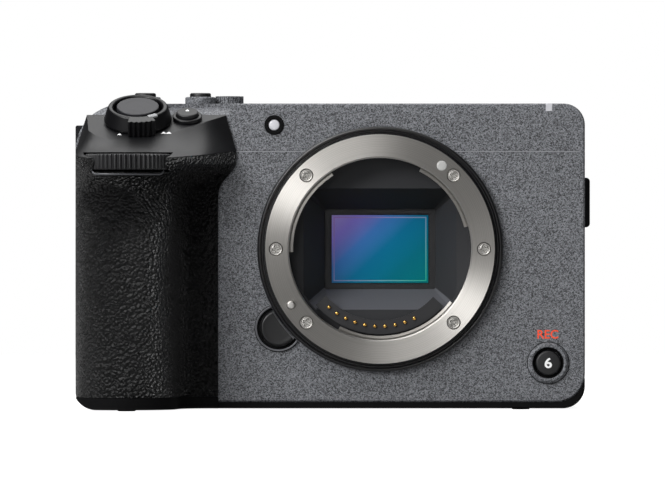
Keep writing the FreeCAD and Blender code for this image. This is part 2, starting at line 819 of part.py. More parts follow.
# Light baffle between the mount and the sensor
baffle_y0 = flange_y + sleeve_depth + seat_gap
baffle_y1 = -baffle_back
baffle = rod(baffle_r, on_axis(baffle_y0), back, baffle_y1 - baffle_y0)
mouth = rounded_outline(-baffle_mouth_w / 2, baffle_mouth_w / 2, axis_height - baffle_mouth_h / 2,
                        axis_height + baffle_mouth_h / 2, [1.5] * 4, baffle_y0 - 0.5)
window = rounded_outline(-window_w / 2, window_w / 2, axis_height - window_h / 2,
                         axis_height + window_h / 2, [0.5] * 4, baffle_y1 + 0.5)
funnel = Part.makeLoft([mouth, window], True, True)
mouth_limit = rod(baffle_r - 1.8, on_axis(baffle_y0 - 1), back, 20)
keep("light_baffle", baffle.cut(funnel.common(mouth_limit)))

# Contacts
block_y0 = flange_y + block_front
contact_base = arc_sector(block_inner_r, block_outer_r, block_arc[0], block_arc[1], block_y0, baffle_y0)
pins = []
for index in range(pin_count):
    angle = pin_first_angle + index * pin_pitch
    start = on_axis(block_y0 - pin_stand, pin_circle_r, angle)
    pins.append(rod(pin_r, start, back, pin_stand + pin_bury))
    contact_base = contact_base.cut(rod(pin_r + run_gap, on_axis(block_y0 - 1, pin_circle_r, angle), back,
                                        1 + pin_bury + pin_travel + 0.2))
keep("contact_block", contact_base)
keep("contact_pins", pins)


# Grip: lofted through level sections, each a straight side and back and one smooth curve round the nose
def grip_profile_at(z):
    """Share of the flare and the nose's Y at a height, read between the named sections."""
    for (z0, share0, reach0), (z1, share1, reach1) in zip(grip_profile, grip_profile[1:]):
        if z <= z1:
            t = (z - z0) / (z1 - z0)
            return share0 + (share1 - share0) * t, case_front - (reach0 + (reach1 - reach0) * t)
    return grip_profile[-1][1], case_front - grip_profile[-1][2]


def grip_points(z):
    """Points of one section's curve, from the leather's inner edge round the nose to the outer side."""
    share, nose_y = grip_profile_at(z)
    side_x = case_left + grip_inner_left
    edge_x = case_left + grip_panel_left
    plain = [(edge_x, case_front - grip_panel_stand), (side_x + 5.8, case_front - 1.3),
             (side_x + 2.6, case_front - 4.5), (side_x, case_front - grip_side_stand),
             (side_x - 3.7, nose_y + 3.2)]
    flared = [(edge_x + grip_flare, case_front - grip_panel_stand), (side_x + 12.7, case_front - 5.0),
              (side_x + 9.5, case_front - 11.0), (side_x + 4.2, nose_y + 9.0),
              (side_x - 1.9, nose_y + 3.4)]
    inner = [(a[0] + (b[0] - a[0]) * share, a[1] + (b[1] - a[1]) * share) for a, b in zip(plain, flared)]
    outer = [(case_left + grip_nose_left, nose_y), (case_left + 7.4, nose_y + 1.1),
             (case_left + 2.6, nose_y + 5.3), (case_left + grip_side_draft, case_front - 11.0)]
    return inner + outer


def drawn_in(points, inset):
    """The same curve at a distance inside the first, without the thin end beside the front cover."""
    if inset == 0:
        return points
    result = []
    for index in range(1, len(points)):
        before = points[index - 1] if index > 1 else points[index]
        after = points[min(index + 1, len(points) - 1)]
        along_x = after[0] - before[0]
        along_y = after[1] - before[1]
        length = math.hypot(along_x, along_y)
        x = points[index][0] + along_y / length * inset
        y = min(points[index][1] - along_x / length * inset, case_front - 0.02)
        result.append((x, y))
    return result


def distances_along(points):
    """Distance of each point from the first, along the straight runs between them."""
    runs = [0.0]
    for before, after in zip(points, points[1:]):
        runs.append(runs[-1] + math.dist(before, after))
    return runs


def closed_section(points, runs, height_at, side_lean):
    """Wire of a curve on a plane, closed by its two sides and a straight back on the front cover.
    The sections of one loft share their runs, so that their curves match point by point. The curve is
    parted where it bends most, which keeps each face of the loft simple."""
    start = points[0]
    end = points[-1]
    end_x = end[0] - (case_front - end[1]) * side_lean
    around = [end, (end_x, case_front), (start[0], case_front), start]
    around = [Vector(x, y, height_at(y)) for x, y in around]
    curve = Part.BSplineCurve()
    curve.interpolate(Points=[Vector(x, y, height_at(y)) for x, y in points], Parameters=runs)
    sides = [Part.makeLine(around[i], around[i + 1]) for i in range(3)]
    parted = [runs[0], runs[-6], runs[-5], runs[-4], runs[-3], runs[-2], runs[-1]]
    curves = []
    for first, last in zip(parted, parted[1:]):
        part_curve = curve.copy()
        part_curve.segment(first, last)
        curves.append(part_curve.toShape())
    return Part.Wire(curves + sides)


def grip_loft(inset, z0, z1):
    heights = [z0] + [row[0] for row in grip_profile if z0 < row[0] < z1] + [z1]
    lean = grip_side_draft / 11.0
    runs = distances_along(drawn_in(grip_points(grip_base_height), inset))
    wires = [closed_section(drawn_in(grip_points(z), inset), runs, lambda y, z=z: z, lean) for z in heights]
    return Part.makeLoft(wires, True, True)


def shoulder_loft(inset, drop):
    """Solid from the leather's upper seam up to the control deck, drawn in by inset and lowered by drop."""
    low = drawn_in(grip_points(shoulder_seam_front + 1.0), inset)
    deck = [(case_left + x, case_front - y) for x, y in deck_outline]
    high = drawn_in(deck, inset)
    runs = distances_along(low)
    wires = [closed_section(low, runs, lambda y: seam_z(y, drop), grip_side_draft / 11.0),
             closed_section(high, runs, lambda y: deck_rear_height + (y - deck_rear_y) * deck_slope - drop,
                            deck_side_lean)]
    return Part.makeLoft(wires, True, True)



def grip_outline(inset):
    """The case's rounded lower corner, carried forward over the grip and clear of its outer side."""
    radii = (top_corner_r, top_corner_r, low_corner_r, low_left_r + grip_side_clear)
    radii = [max(r - inset, 0.3) for r in radii]
    return slab(case_left + inset - grip_side_clear, case_right - inset, inset, case_top + beyond, radii,
                case_front - 60, case_front + 1)


grip_top = grip_profile[-1][0]
core_inset = grip_skin + seat_gap
core_inner = core_inset + grip_core_wall
skin_low = grip_base_height + seam
over_seam = above_seam(seam / 2)
skin = grip_loft(0, skin_low, grip_top).common(grip_outline(0))
skin = skin.cut(grip_loft(grip_skin, 0, grip_top + 2).common(grip_outline(grip_skin)))
skin = one_solid(skin.cut(over_seam))
core = grip_loft(core_inset, skin_low, grip_top).common(grip_outline(core_inset))
core_room = grip_loft(core_inner, 0, grip_top + 2).common(grip_outline(core_inner))
shelf = grip_loft(core_inset + grip_core_wall / 2, dial_shelf_z - dial_shelf_thick, dial_shelf_z)
core = core.cut(core_room).cut(over_seam).fuse(shelf)
shoulder = shoulder_loft(0, 0)
shoulder = shoulder.cut(shoulder_loft(shoulder_wall, shoulder_wall))

# Front dial in its slot across the seam
dial_x = case_left + grip_nose_left + dial_right
dial_nose_y = grip_profile_at(dial_height)[1]
dial_y = dial_nose_y - dial_stand + dial_r
dial_at = Vector(dial_x, dial_y, dial_height - dial_thick / 2)
slot_low = dial_shelf_z
slot = rod(dial_r + dial_slot_gap, Vector(dial_x, dial_y, slot_low), up,
           dial_height + dial_thick / 2 + dial_slot_gap - slot_low)
skin = one_solid(skin.cut(slot))
shoulder = shoulder.cut(slot)
core = core.cut(slot)


def ribbed_disc(radius, height, teeth, depth, start, direction):
    """Disc with square ribs round its rim."""
    disc = rod(radius, start, direction, height)
    width = math.pi * radius / teeth
    side = Vector(1, 0, 0)
    cutters = []
    for index in range(teeth):
        cutter = block(radius - depth, radius + 1, -width / 2, width / 2, -1, height + 1)
        cutter.rotate(Vector(), up, index * 360.0 / teeth)
        cutters.append(cutter)
    tool = placed(Part.makeCompound(cutters), placement(start, side, direction))
    return one_solid(disc.cut(tool))


def axle(start, direction, dial_height_here, grip_length):
    """Fixed axle with a head that keeps a dial on; start is at the head's outer end."""
    head = rod(axle_head_r, start, direction, axle_head_h)
    return head.fuse(rod(dial_axle_r, start, direction, dial_height_here + grip_length)).removeSplitter()


head_room = axle_head_h + 0.1
dial = ribbed_disc(dial_r, dial_thick, dial_teeth, dial_tooth_depth, dial_at, up)
dial = dial.cut(rod(dial_axle_r + run_gap, dial_at - up, up, dial_thick + 2))
dial_top = dial_at + up * dial_thick
dial = dial.cut(rod(axle_head_r + 0.2, dial_top - up * head_room, up, head_room + 1))
keep("front_dial", dial)
axle_length = dial_thick + dial_at.z - (dial_shelf_z - dial_shelf_thick)
fixings.append(axle(dial_top - up * 0.05, down, 0.0, axle_length))
core = core.cut(rod(dial_axle_r + 0.01, Vector(dial_x, dial_y, dial_shelf_z - 5), up, 10))

# Zoom lever and release button on the deck
lever_at = deck_point(lever_x, lever_run, lever_lift)
lever = Part.makeCone(lever_base_r, lever_top_r, lever_height, lever_at, deck_normal)
tab_frame = placement(lever_at, Vector(1, 0, 0), deck_normal)
tab_outline = Part.makePolygon([
    Vector(-lever_tab_width / 2 + lever_tab_shift, -lever_top_r + 1.5, 0),
    Vector(-lever_tab_width / 2 + lever_tab_shift, -lever_base_r - lever_tab_reach + 0.6, 0),
    Vector(-lever_tab_width / 2 + 0.8 + lever_tab_shift, -lever_base_r - lever_tab_reach, 0),
    Vector(lever_tab_width / 2 - 0.8 + lever_tab_shift, -lever_base_r - lever_tab_reach, 0),
    Vector(lever_tab_width / 2 + lever_tab_shift, -lever_base_r - lever_tab_reach + 0.6, 0),
    Vector(lever_tab_width / 2 + lever_tab_shift, -lever_top_r + 1.5, 0),
    Vector(-lever_tab_width / 2 + lever_tab_shift, -lever_top_r + 1.5, 0),
])
tab = Part.Face(tab_outline).extrude(Vector(0, 0, lever_height))
for index in range(lever_tab_ribs):
    groove_x = lever_tab_shift + (index - (lever_tab_ribs - 1) / 2) * lever_rib_pitch
    tab = tab.cut(block(groove_x - lever_rib_pitch * 0.22, groove_x + lever_rib_pitch * 0.22,
                        -lever_base_r - lever_tab_reach - 1, -lever_base_r - lever_tab_reach + 0.45,
                        -1, lever_height + 1))
lever = lever.fuse(placed(tab, tab_frame)).removeSplitter()
collar_outer = lever_bore_r - run_gap
lever = lever.cut(rod(lever_bore_r, lever_at - deck_normal, deck_normal, lever_height + 2))
keep("zoom_lever", lever)

stem_length = 6.0
shutter_top = lever_lift + lever_height
shutter_low = deck_point(lever_x, lever_run, shutter_top - shutter_thick)
shutter = rod(shutter_r, shutter_low, deck_normal, shutter_thick)
shutter = shutter.fuse(rod(stem_r, deck_point(lever_x, lever_run, shutter_top - shutter_thick - stem_length),
                           deck_normal, stem_length + 0.5)).removeSplitter()
keep("shutter_button", shutter)
lever_collar = tube(collar_outer, shutter_r + run_gap * 2, deck_point(lever_x, lever_run, -0.5), deck_normal,
                    shutter_top - lever_collar_drop + 0.5)
shoulder = shoulder.fuse(lever_collar)
top = top.cut(rod(collar_outer + seat_gap, deck_point(lever_x, lever_run, -0.6), deck_normal, 10))
shoulder = shoulder.cut(rod(stem_r + run_gap * 2, deck_point(lever_x, lever_run, -8), deck_normal, 20))


def collared_button(at, direction, cap_r, cap_height, collar_r, collar_height, plate):
    """Round button in a fixed collar: cap with its stem, collar, and the hole through the plate below."""
    cap = rod(cap_r, at + direction * 0.6, direction, cap_height - 0.6)
    cap = cap.makeFillet(0.35, [e for e in cap.Edges if abs(e.Vertexes[0].Point.sub(at).dot(direction)
                                                           - cap_height) < 1e-3])
    stem = rod(stem_r, at - direction * (plate + 2.0), direction, plate + 3.0)
    collar = tube(collar_r, cap_r + run_gap * 2, at, direction, collar_height)
    hole = rod(stem_r + run_gap * 2, at - direction * (plate + 3), direction, plate + 6)
    return cap.fuse(stem).removeSplitter(), collar, hole


collars = []
deck_at = deck_point(deck_button_x, deck_button_run)
cap, collar, hole = collared_button(deck_at, deck_normal, deck_button_r, deck_button_height,
                                    deck_collar_r, deck_collar_height, shoulder_wall)
keep("grip_button", cap)
collars.append(collar)
shoulder = shoulder.cut(hole)
top = top.cut(hole)
keep("grip_shoulder", one_solid(shoulder))

# Controls on the top cover
for name, x in (("left_top_button", left_button_x), ("right_top_button", right_button_x)):
    cap, collar, hole = collared_button(Vector(x, top_control_y, case_top), up, top_button_r,
                                        top_button_height, top_collar_r, top_collar_height, wall)
    keep(name, cap)
    collars.append(collar)
    top = top.cut(hole)
keep("control_collars", collars)

switch_at = Vector(switch_x, top_control_y + switch_back, case_top + 0.1)
switch = ribbed_disc(switch_r, switch_height, 20, 0.3, switch_at, up)
lug = block(-0.8, 0.8, 0, switch_r + 1.6, 0, switch_height)
lug.translate(switch_at)
switch = switch.fuse(lug).fuse(rod(stem_r, switch_at - up * 4, up, 5)).removeSplitter()
keep("power_switch", switch)
top = top.cut(rod(stem_r + run_gap, switch_at - up * 5, up, 10))

# Rear dial under the top cover's back edge
rear_dial_x = case_left + rear_dial_inset
rear_dial_at = Vector(rear_dial_x, case_back + rear_dial_stand - rear_dial_r,
                      case_top - rear_dial_drop)
slot_cut = rod(rear_dial_r + 0.4, rear_dial_at - up * 0.4, up, rear_dial_thick + 0.8)
hub_r = dial_axle_r + 1.4
axle_boss = rod(hub_r, rear_dial_at + up * (rear_dial_thick + 0.3), up,
                case_top - wall - rear_dial_at.z - rear_dial_thick - 0.3 + 0.2)
top = top.cut(slot_cut).fuse(axle_boss)
rear_dial = ribbed_disc(rear_dial_r, rear_dial_thick, 30, 0.4, rear_dial_at, up)
rear_dial = rear_dial.cut(rod(dial_axle_r + run_gap, rear_dial_at - up, up, rear_dial_thick + 2))
rear_dial = rear_dial.cut(rod(axle_head_r + 0.2, rear_dial_at - up, up, head_room + 1))
keep("rear_dial", rear_dial)
rear_axle_length = rear_dial_thick + 0.3 + 3.0
fixings.append(axle(rear_dial_at + up * 0.05, up, 0.0, rear_axle_length))
top = top.cut(rod(dial_axle_r + 0.01, rear_dial_at, up, rear_axle_length + 0.2))

# Battery in the grip
battery_x0 = case_left + battery_left
battery_x1 = battery_x0 + battery_w
battery_y0 = case_front - battery_front
battery_y1 = battery_y0 + battery_d


def plan_block(x0, x1, y0, y1, z0, z1, radius):
    """Upright block with rounded front corners."""
    body = block(x0, x1, y0, y1, z0, z1)
    edges = [e for e in body.Edges
             if abs(e.Vertexes[0].X - e.Vertexes[1].X) < 1e-6
             and abs(e.Vertexes[0].Y - e.Vertexes[1].Y) < 1e-6
             and e.Vertexes[0].Y < y0 + 1e-6]
    return body.makeFillet(radius, edges)


battery_top = battery_base + battery_h
keep("battery", plan_block(battery_x0, battery_x1, battery_y0, battery_y1, battery_base, battery_top,
                           battery_corner_r))
bay = plan_block(battery_x0 - battery_gap, battery_x1 + battery_gap, battery_y0 - battery_gap,
                 battery_y1 + battery_gap, -1, battery_top + battery_gap, battery_corner_r)
core = core.cut(bay)
front = front.cut(block(case_left + wall, battery_x1 + battery_gap, case_front - 1, case_front + wall + 1,
                        -1, dial_shelf_z))
front = front.cut(bay)

# Front trim: mount bezel, release button, record button, lamp and tally window
rib_y = case_front - bezel_stand - bezel_rib_height
bezel = tube(bezel_outer_r, bezel_outer_r - bezel_width, on_axis(case_front - bezel_stand), back, bezel_stand)
bezel_rib = tube(bezel_outer_r - bezel_width + bezel_rib_width, bezel_outer_r - bezel_width,
                 on_axis(rib_y), back, bezel_rib_height)
keep("mount_bezel", bezel.fuse(bezel_rib).removeSplitter())

rim_front = on_axis(case_front - release_rim_stand, release_centre_r, release_angle)
rim_depth = release_rim_stand + wall
inside_bezel = rod(bezel_outer_r + fit_gap, on_axis(case_front - 5), back, 30)
rim = tube(release_rim_r, release_rim_r - release_rim_width, rim_front, back, rim_depth).cut(inside_bezel)
front = front.cut(rod(release_rim_r + 0.01, rim_front - back, back, 10).cut(inside_bezel))
cap_front = on_axis(case_front - release_cap_stand, release_centre_r, release_angle)
release_back = case_front + wall + 0.2 - release_travel - 0.1
release = rod(release_rim_r - release_rim_width - 0.25, cap_front, back, release_back - cap_front.y)
release = release.cut(rod(bezel_outer_r + 2 * fit_gap, on_axis(case_front - 5), back, 30))
stem_at = on_axis(release_back - 0.2, release_centre_r + 0.8, release_angle)
release = release.fuse(rod(stem_r, stem_at, back, chassis_thick + release_travel + 1.2)).removeSplitter()
keep("release_button", one_solid(release))
chassis = nodes["chassis"].cut(rod(stem_r + run_gap * 2, stem_at, back, 10))
keep("chassis", chassis)

record_at = Vector(record_x, case_front, record_height)
record_ring = tube(record_bezel_r, record_bezel_bore_r, record_at + forward * record_bezel_stand, back,
                   record_bezel_stand)
keep("record_bezel", record_ring)
front = front.cut(rod(record_bezel_bore_r, record_at - back, back, wall + 2))
record_flange_y = case_front + wall + 0.2 - record_travel - 0.1
record_cap = rod(record_cap_r, record_at + forward * record_cap_stand, back,
                 record_cap_stand + record_flange_y - case_front)
record_flange_at = Vector(record_x, record_flange_y - 0.7, record_height)
record_flange = rod(record_bezel_bore_r - 0.2, record_flange_at, back, 0.7)
keep("record_button", record_cap.fuse(record_flange).removeSplitter())

lamp_at = Vector(lamp_x, case_front - 0.25, lamp_height)
lamp_ring = tube(lamp_ring_r, lamp_lens_r, lamp_at, back, wall + 0.25)
top = top.cut(rod(lamp_ring_r, lamp_at - back, back, wall + 3))
keep("trim_rings", [one_solid(rim), lamp_ring])
tally = block(tally_x - tally_w / 2, tally_x + tally_w / 2, case_front, case_front + tally_depth,
              case_top - tally_h, case_top)
tally = tally.common(covers_whole)
top = top.cut(tally)
keep("signal_windows", [rod(lamp_lens_r, lamp_at + back * 0.1, back, wall + 0.15), tally])


# Strap lugs: a loop standing out of a recess in each side wall
def strap_lug(wall_x, side, z, stand):
    """Lug, the pad that backs the wall, and the recess to cut, for side +1 (sockets) or -1 (grip)."""
    def box(a, b, half_y, half_z):
        x0, x1 = sorted((wall_x + side * a, wall_x + side * b))
        return block(x0, x1, lug_y - half_y, lug_y + half_y, z - half_z, z + half_z)
    half = lug_height / 2
    loop = box(-lug_sink, stand, lug_depth / 2, half)
    upright = [e for e in loop.Edges
               if abs(e.Vertexes[0].Y - e.Vertexes[1].Y) > 1e-6
               and (e.Vertexes[0].X - wall_x) * side > 0]
    loop = loop.makeFillet(min(1.0, 0.6 * stand), upright)
    loop = loop.cut(box(-lug_sink + lug_floor, -lug_bar_sink, lug_depth, lug_slot_height / 2))
    pad = box(-lug_sink - wall, -wall + 0.1, lug_pad_half, half + 1.2)
    recess = box(-lug_sink, 1, lug_depth / 2 + 1.6, half - 1.6).fuse(box(-lug_sink, 1, lug_depth / 2, half))
    return loop, pad, recess


lug_right, pad_right, recess_right = strap_lug(case_right, 1, lug_right_height, lug_right_stand)
lug_left, pad_left, recess_left = strap_lug(case_left, -1, lug_left_height, lug_left_stand)
keep("strap_lugs", [lug_right, lug_left])
front = front.fuse(pad_right).cut(recess_right)
low_pad = pad_left.common(block(-beyond, beyond, -beyond, beyond, 0, seam_low))
high_pad = pad_left.common(block(-beyond, beyond, -beyond, beyond, seam_height, beyond)).common(covers_whole)
front = front.fuse(low_pad).cut(recess_left)
top = top.fuse(high_pad).cut(recess_left)


# Doors in the side walls, each on a ledge with a window through the wall
def door_site(cover, width, length, place):
    pad = block(-1.6, width + 1.6, -1.6, length + 1.6, -wall - door_ledge, -wall + 0.1)
    window = block(barrel_room, width - 1.4, 1.4, length - 1.4, -10, 1)
    leaf, pin, pocket, pin_hole = door_parts(width, length, door_thick, knuckle_r, place)
    trough = placed(rod(knuckle_r + fit_gap, Vector(knuckle_r + door_gap, -door_gap, -knuckle_r - door_sink),
                        back, length + 2 * door_gap), place)
    cover = cover.fuse(placed(pad, place))
    cover = cut_all(cover, [pocket, trough, placed(window, place), pin_hole])
    return cover, leaf, pin


barrel_room = 2 * knuckle_r + 2 * door_gap
card_place = placement(Vector(case_left, side_door_y, card_door_low + card_door_h), back, Vector(-1, 0, 0))
rear, card_leaf, card_pin = door_site(rear, card_door_w, card_door_h, card_place)
keep("card_door", card_leaf)
data_place = placement(Vector(case_right, side_door_y, port_door_low), back, Vector(1, 0, 0))
rear, data_leaf, data_pin = door_site(rear, port_door_w, data_door_h, data_place)
keep("data_door", data_leaf)
audio_low = port_door_low + data_door_h + door_spacing
audio_place = placement(Vector(case_right, side_door_y, audio_low), back, Vector(1, 0, 0))
rear, audio_leaf, audio_pin = door_site(rear, port_door_w, audio_door_h, audio_place)
keep("audio_door", audio_leaf)
fixings += [card_pin, data_pin, audio_pin]

# Card slots and sockets behind the doors
card_x = case_left + wall + door_ledge + seat_gap
card_y = side_door_y + card_door_w / 2 + 1.0
card_z = card_door_low + card_door_h / 2
reader = block(card_x, card_x + card_reader_l, card_y - card_reader_w / 2, card_y + card_reader_w / 2,
               card_z - card_reader_h / 2, card_z + card_reader_h / 2)
for offset in (-3.0, 3.0):
    reader = reader.cut(block(card_x - 1, card_x + card_reader_l - 2.5, card_y + offset - card_slot_w / 2,
                              card_y + offset + card_slot_w / 2, card_z - card_slot_h / 2,
                              card_z + card_slot_h / 2))
connectors = [reader]
port_x = case_right - wall - door_ledge - seat_gap
port_y = side_door_y + port_door_w / 2 + 0.5


def box_socket(z, width, height, shell, tongue):
    """Rectangular socket with its contact tongue, opening towards the side of the case."""
    def bar(w, h, x0, x1):
        return block(port_x - x1, port_x - x0, port_y - w / 2, port_y + w / 2, z - h / 2, z + h / 2)
    body = bar(width + 2 * shell, height + 2 * shell, 0, socket_length)
    body = body.cut(bar(width, height, -1, socket_length - 1.2))
    return body.fuse(bar(width * 0.8, tongue, 2.0, socket_length - 1.0)).removeSplitter()


sockets = [
    box_socket(port_door_low + 5.0, 14.0, 4.5, 0.6, 1.4),
    box_socket(port_door_low + 12.0, 8.4, 2.6, 0.5, 0.7),
    box_socket(port_door_low + 17.5, 7.0, 2.2, 0.5, 0.6),
]
for offset in (-4.3, 4.3):
    jack_at = Vector(port_x, port_y + offset, audio_low + audio_door_h / 2)
    jack = rod(jack_bore_r + 1.5, jack_at, Vector(-1, 0, 0), socket_length)
    sockets.append(jack.cut(rod(jack_bore_r, jack_at, Vector(-1, 0, 0), socket_length - 1.2)))
port_board_x = port_x - socket_length
port_board = block(port_board_x - board_thick, port_board_x, port_y - port_board_w / 2, port_y + port_board_w / 2,
                   port_door_low + 1.0, audio_low + audio_door_h - 1.0)
connectors.append(fused([port_board] + sockets))
keep("connectors", connectors)
for index in range(vent_count):
    vent_y = side_door_y + 1.0 + index * vent_pitch
    rear = rear.cut(block(case_right - wall - 1, case_right + 1, vent_y, vent_y + vent_pitch / 2,
                          audio_low + audio_door_h + 2.5, audio_low + audio_door_h + 2.5 + vent_length))

# Battery door across the base and the grip's base, hinged at its rear edge
door_x0 = battery_x0 - door_gap
door_x1 = battery_x1 + door_gap
door_y0 = battery_y0 - battery_gap - door_gap
door_axis_y = battery_y1 + battery_gap + battery_barrel_r + 0.3
door_axis_z = battery_barrel_r + door_sink
barrel_x0 = case_left + low_left_r + 0.3
leaf_back = door_axis_y - battery_barrel_r - 0.6
inside = case_prism(0, case_front - 60, case_back, 0, beyond)
leaf = block(door_x0, door_x1, door_y0, leaf_back, 0, battery_door_thick)
leaf = leaf.fuse(block(barrel_x0, door_x1, leaf_back - 0.1, door_axis_y, 0, 2 * battery_barrel_r))
leaf = leaf.fuse(rod(battery_barrel_r, Vector(barrel_x0, door_axis_y, door_axis_z), Vector(1, 0, 0),
                     door_x1 - barrel_x0)).common(inside)
pin_start = Vector(barrel_x0 - pin_grip, door_axis_y, door_axis_z)
pin_run = door_x1 - barrel_x0 + 2 * pin_grip
leaf = leaf.cut(rod(pin_rod_r + run_gap, pin_start - Vector(1, 0, 0), Vector(1, 0, 0), pin_run + 2))
latch_x = (door_x0 + door_x1) / 2
latch_y = door_y0 + 3.0
latch = block(latch_x - latch_w / 2, latch_x + latch_w / 2, latch_y, latch_y + latch_l,
              latch_sink, latch_sink + latch_thick)
for index in range(4):
    groove_y = latch_y + 0.8 + index * 1.0
    latch = latch.cut(block(latch_x - latch_w / 2 + 1, latch_x + latch_w / 2 - 1, groove_y, groove_y + 0.45,
                            0, 0.4))
leaf = leaf.cut(block(latch_x - latch_w / 2 - fit_gap, latch_x + latch_w / 2 + fit_gap, latch_y - fit_gap,
                      latch_y + latch_l + latch_travel + fit_gap, -1, latch_thick + 0.15))
keep("battery_door", one_solid(leaf.removeSplitter()))
keep("battery_latch", latch)
fixings.append(rod(pin_rod_r, pin_start, Vector(1, 0, 0), pin_run))
door_room = block(door_x0 - door_gap, door_x1 + door_gap, door_y0 - door_gap, leaf_back + leaf_swing, -1,
                  20)
door_room = door_room.fuse(block(barrel_x0 - door_gap, door_x1 + door_gap, leaf_back,
                                 door_axis_y + battery_barrel_r + fit_gap, -1,
                                 2 * battery_barrel_r + 0.3))
hinge_pad = block(barrel_x0 - 3, door_x1 + 4, leaf_back + 2 * door_gap,
                  door_axis_y + battery_barrel_r + 2.0, base_rise - 0.1, 2 * battery_barrel_r + 1.5)
pin_room = rod(pin_rod_r + 0.01, pin_start - Vector(0.1, 0, 0), Vector(1, 0, 0), pin_run + 0.2)
base = base.fuse(hinge_pad.common(cover_prism(wall + seat_gap, case_front, case_back, 0, beyond).fuse(
    block(case_left + low_left_r, case_right, case_front, case_back, 0, 10))))
base = cut_all(base, [door_room, pin_room])
front = front.cut(door_room)
rear = rear.cut(door_room)
base_grip = grip_loft(0, 0, grip_base_height).common(grip_outline(0)).cut(door_room)

# Feet, tripod socket and threaded bushes
for x, y, plate in ((foot_right_x, case_front + 4, "case"), (foot_right_x, case_back - 6, "case"),
                    (foot_left_x, case_back - 10, "case"), (foot_left_x, case_front - 20.5, "grip")):
    foot = rod(foot_r, Vector(x, y, -foot_stand), up, foot_stand + 0.5)
    if plate == "case":
        base = base.fuse(foot)
    else:
        base_grip = base_grip.fuse(foot)


def bush(mouth, inward, plate, flange_r):
    """Blind threaded bush flush with a wall's outer face, with a flange behind the wall."""
    body = rod(bush_r, mouth, inward, bush_depth + 1.0)
    body = body.fuse(rod(flange_r, mouth + inward * plate, inward, 1.4)).removeSplitter()
    return body.cut(rod(thread_r, mouth - inward, inward, bush_depth + 1.0))


bushes = [bush(Vector(0, 0, 0), up, base_rise, socket_boss_r)]
base = base.cut(rod(bush_r, Vector(0, 0, -1), up, wall + 3))
for x, y in top_threads:
    bushes.append(bush(Vector(x, y, case_top), down, wall, bush_r + 1.3))
    top = top.cut(rod(bush_r, Vector(x, y, case_top + 1), down, wall + 2))
side_mouth = Vector(case_right, side_thread_y, case_top - side_thread_drop)
inward = Vector(-1, 0, 0)
top = top.cut(rod(bush_r, side_mouth - inward, inward, wall + 2))
bushes.append(bush(side_mouth, inward, wall, bush_r + 0.8).cut(top))
keep("thread_bushes", bushes)

# Case screws in the base, each into a post of the cover above
for x, y in base_screws:
    screw, seat = screw_site(x, y, 0, up)
    post = one_solid(rod(screw_post_r, Vector(x, y, base_rise + seam / 2), up, screw_post_h).cut(base))
    fixings.append(screw)
    base = base.cut(seat)
    if y < split_depth:
        front = front.fuse(post).cut(seat)
    else:
        rear = rear.fuse(post).cut(seat)
keep("base_cover", base)
keep("grip_base", base_grip)

# Screen on its arm
panel_right = hinge_x - screen_near_hinge
panel_y1 = case_back + screen_stand
panel_y0 = panel_y1 - screen_thick
shell = slab(screen_left, panel_right, screen_low, screen_high, [2.0] * 4, panel_y0, panel_y1)
glass_x = (screen_left + panel_right) / 2
glass_z = (screen_low + screen_high) / 2
half_w = screen_glass_w / 2
half_h = screen_glass_h / 2


def panel_box(grow, y0, y1):
    return block(glass_x - half_w - grow, glass_x + half_w + grow, y0, y1,
                 glass_z - half_h - grow, glass_z + half_h + grow)


shell = shell.cut(panel_box(seat_gap, panel_y1 - screen_glass_thick, panel_y1 + 1))
shell = shell.cut(panel_box(-1.5, panel_y0 + 1.2, panel_y1))
keep("screen_glass", panel_box(0, panel_y1 - screen_glass_thick, panel_y1))
tongue = block(panel_right - arm_tongue, hinge_x, hinge_y - arm_thick / 2, hinge_y + arm_thick / 2,
               arm_low + 2, arm_high - 2)
tongue_slot = block(panel_right - arm_tongue - seat_gap, panel_right + 1,
                    hinge_y - arm_thick / 2 - seat_gap, hinge_y + arm_thick / 2 + seat_gap,
                    arm_low + 2 - seat_gap, arm_high - 2 + seat_gap)
shell = shell.cut(tongue_slot)
keep("screen_shell", shell)
arm = rod(hinge_r, Vector(hinge_x, hinge_y, arm_low), up, hinge_arm_h).fuse(tongue).removeSplitter()
keep("screen_arm", arm.cut(rod(hinge_rod_r + run_gap, Vector(hinge_x, hinge_y, arm_low - 1), up,
                               hinge_arm_h + 2)))


# Controls on the back, each drawn in a frame whose Z points out of the back
def rear_frame(x, z):
    return placement(Vector(x, case_back, z), Vector(-1, 0, 0), back)


wheel_place = rear_frame(wheel_x, wheel_height)
wheel_pad = rod(wheel_r + 2.0, Vector(0, 0, -wall - 1.6), up, 1.7)
wheel_room = rod(wheel_r + fit_gap, Vector(0, 0, -wall), up, wall + 1)
boss = rod(wheel_bore_r - run_gap, Vector(0, 0, -wall - 0.1), up, wall + wheel_stand - 0.5)
centre_hole = rod(centre_r + run_gap * 2, Vector(0, 0, -wall), up, wall + 2)
stem_hole = rod(stem_r + run_gap * 2, Vector(0, 0, -10), up, 20)
rear = rear.fuse(placed(wheel_pad, wheel_place)).cut(placed(wheel_room, wheel_place))
rear = rear.fuse(placed(boss.cut(centre_hole), wheel_place)).cut(placed(stem_hole, wheel_place))
wheel = ribbed_disc(wheel_r, wheel_thick, 48, 0.3, Vector(0, 0, wheel_stand - wheel_thick), up)
wheel = wheel.cut(rod(wheel_bore_r, Vector(0, 0, -10), up, 20))
keep("control_wheel", placed(wheel, wheel_place))
centre = rod(centre_r, Vector(0, 0, button_travel - wall + 0.1), up, wall + wheel_stand - button_travel - 0.1)
centre = centre.fuse(rod(stem_r, Vector(0, 0, -wall - 3.0), up, 4)).removeSplitter()
keep("wheel_button", placed(centre, wheel_place))

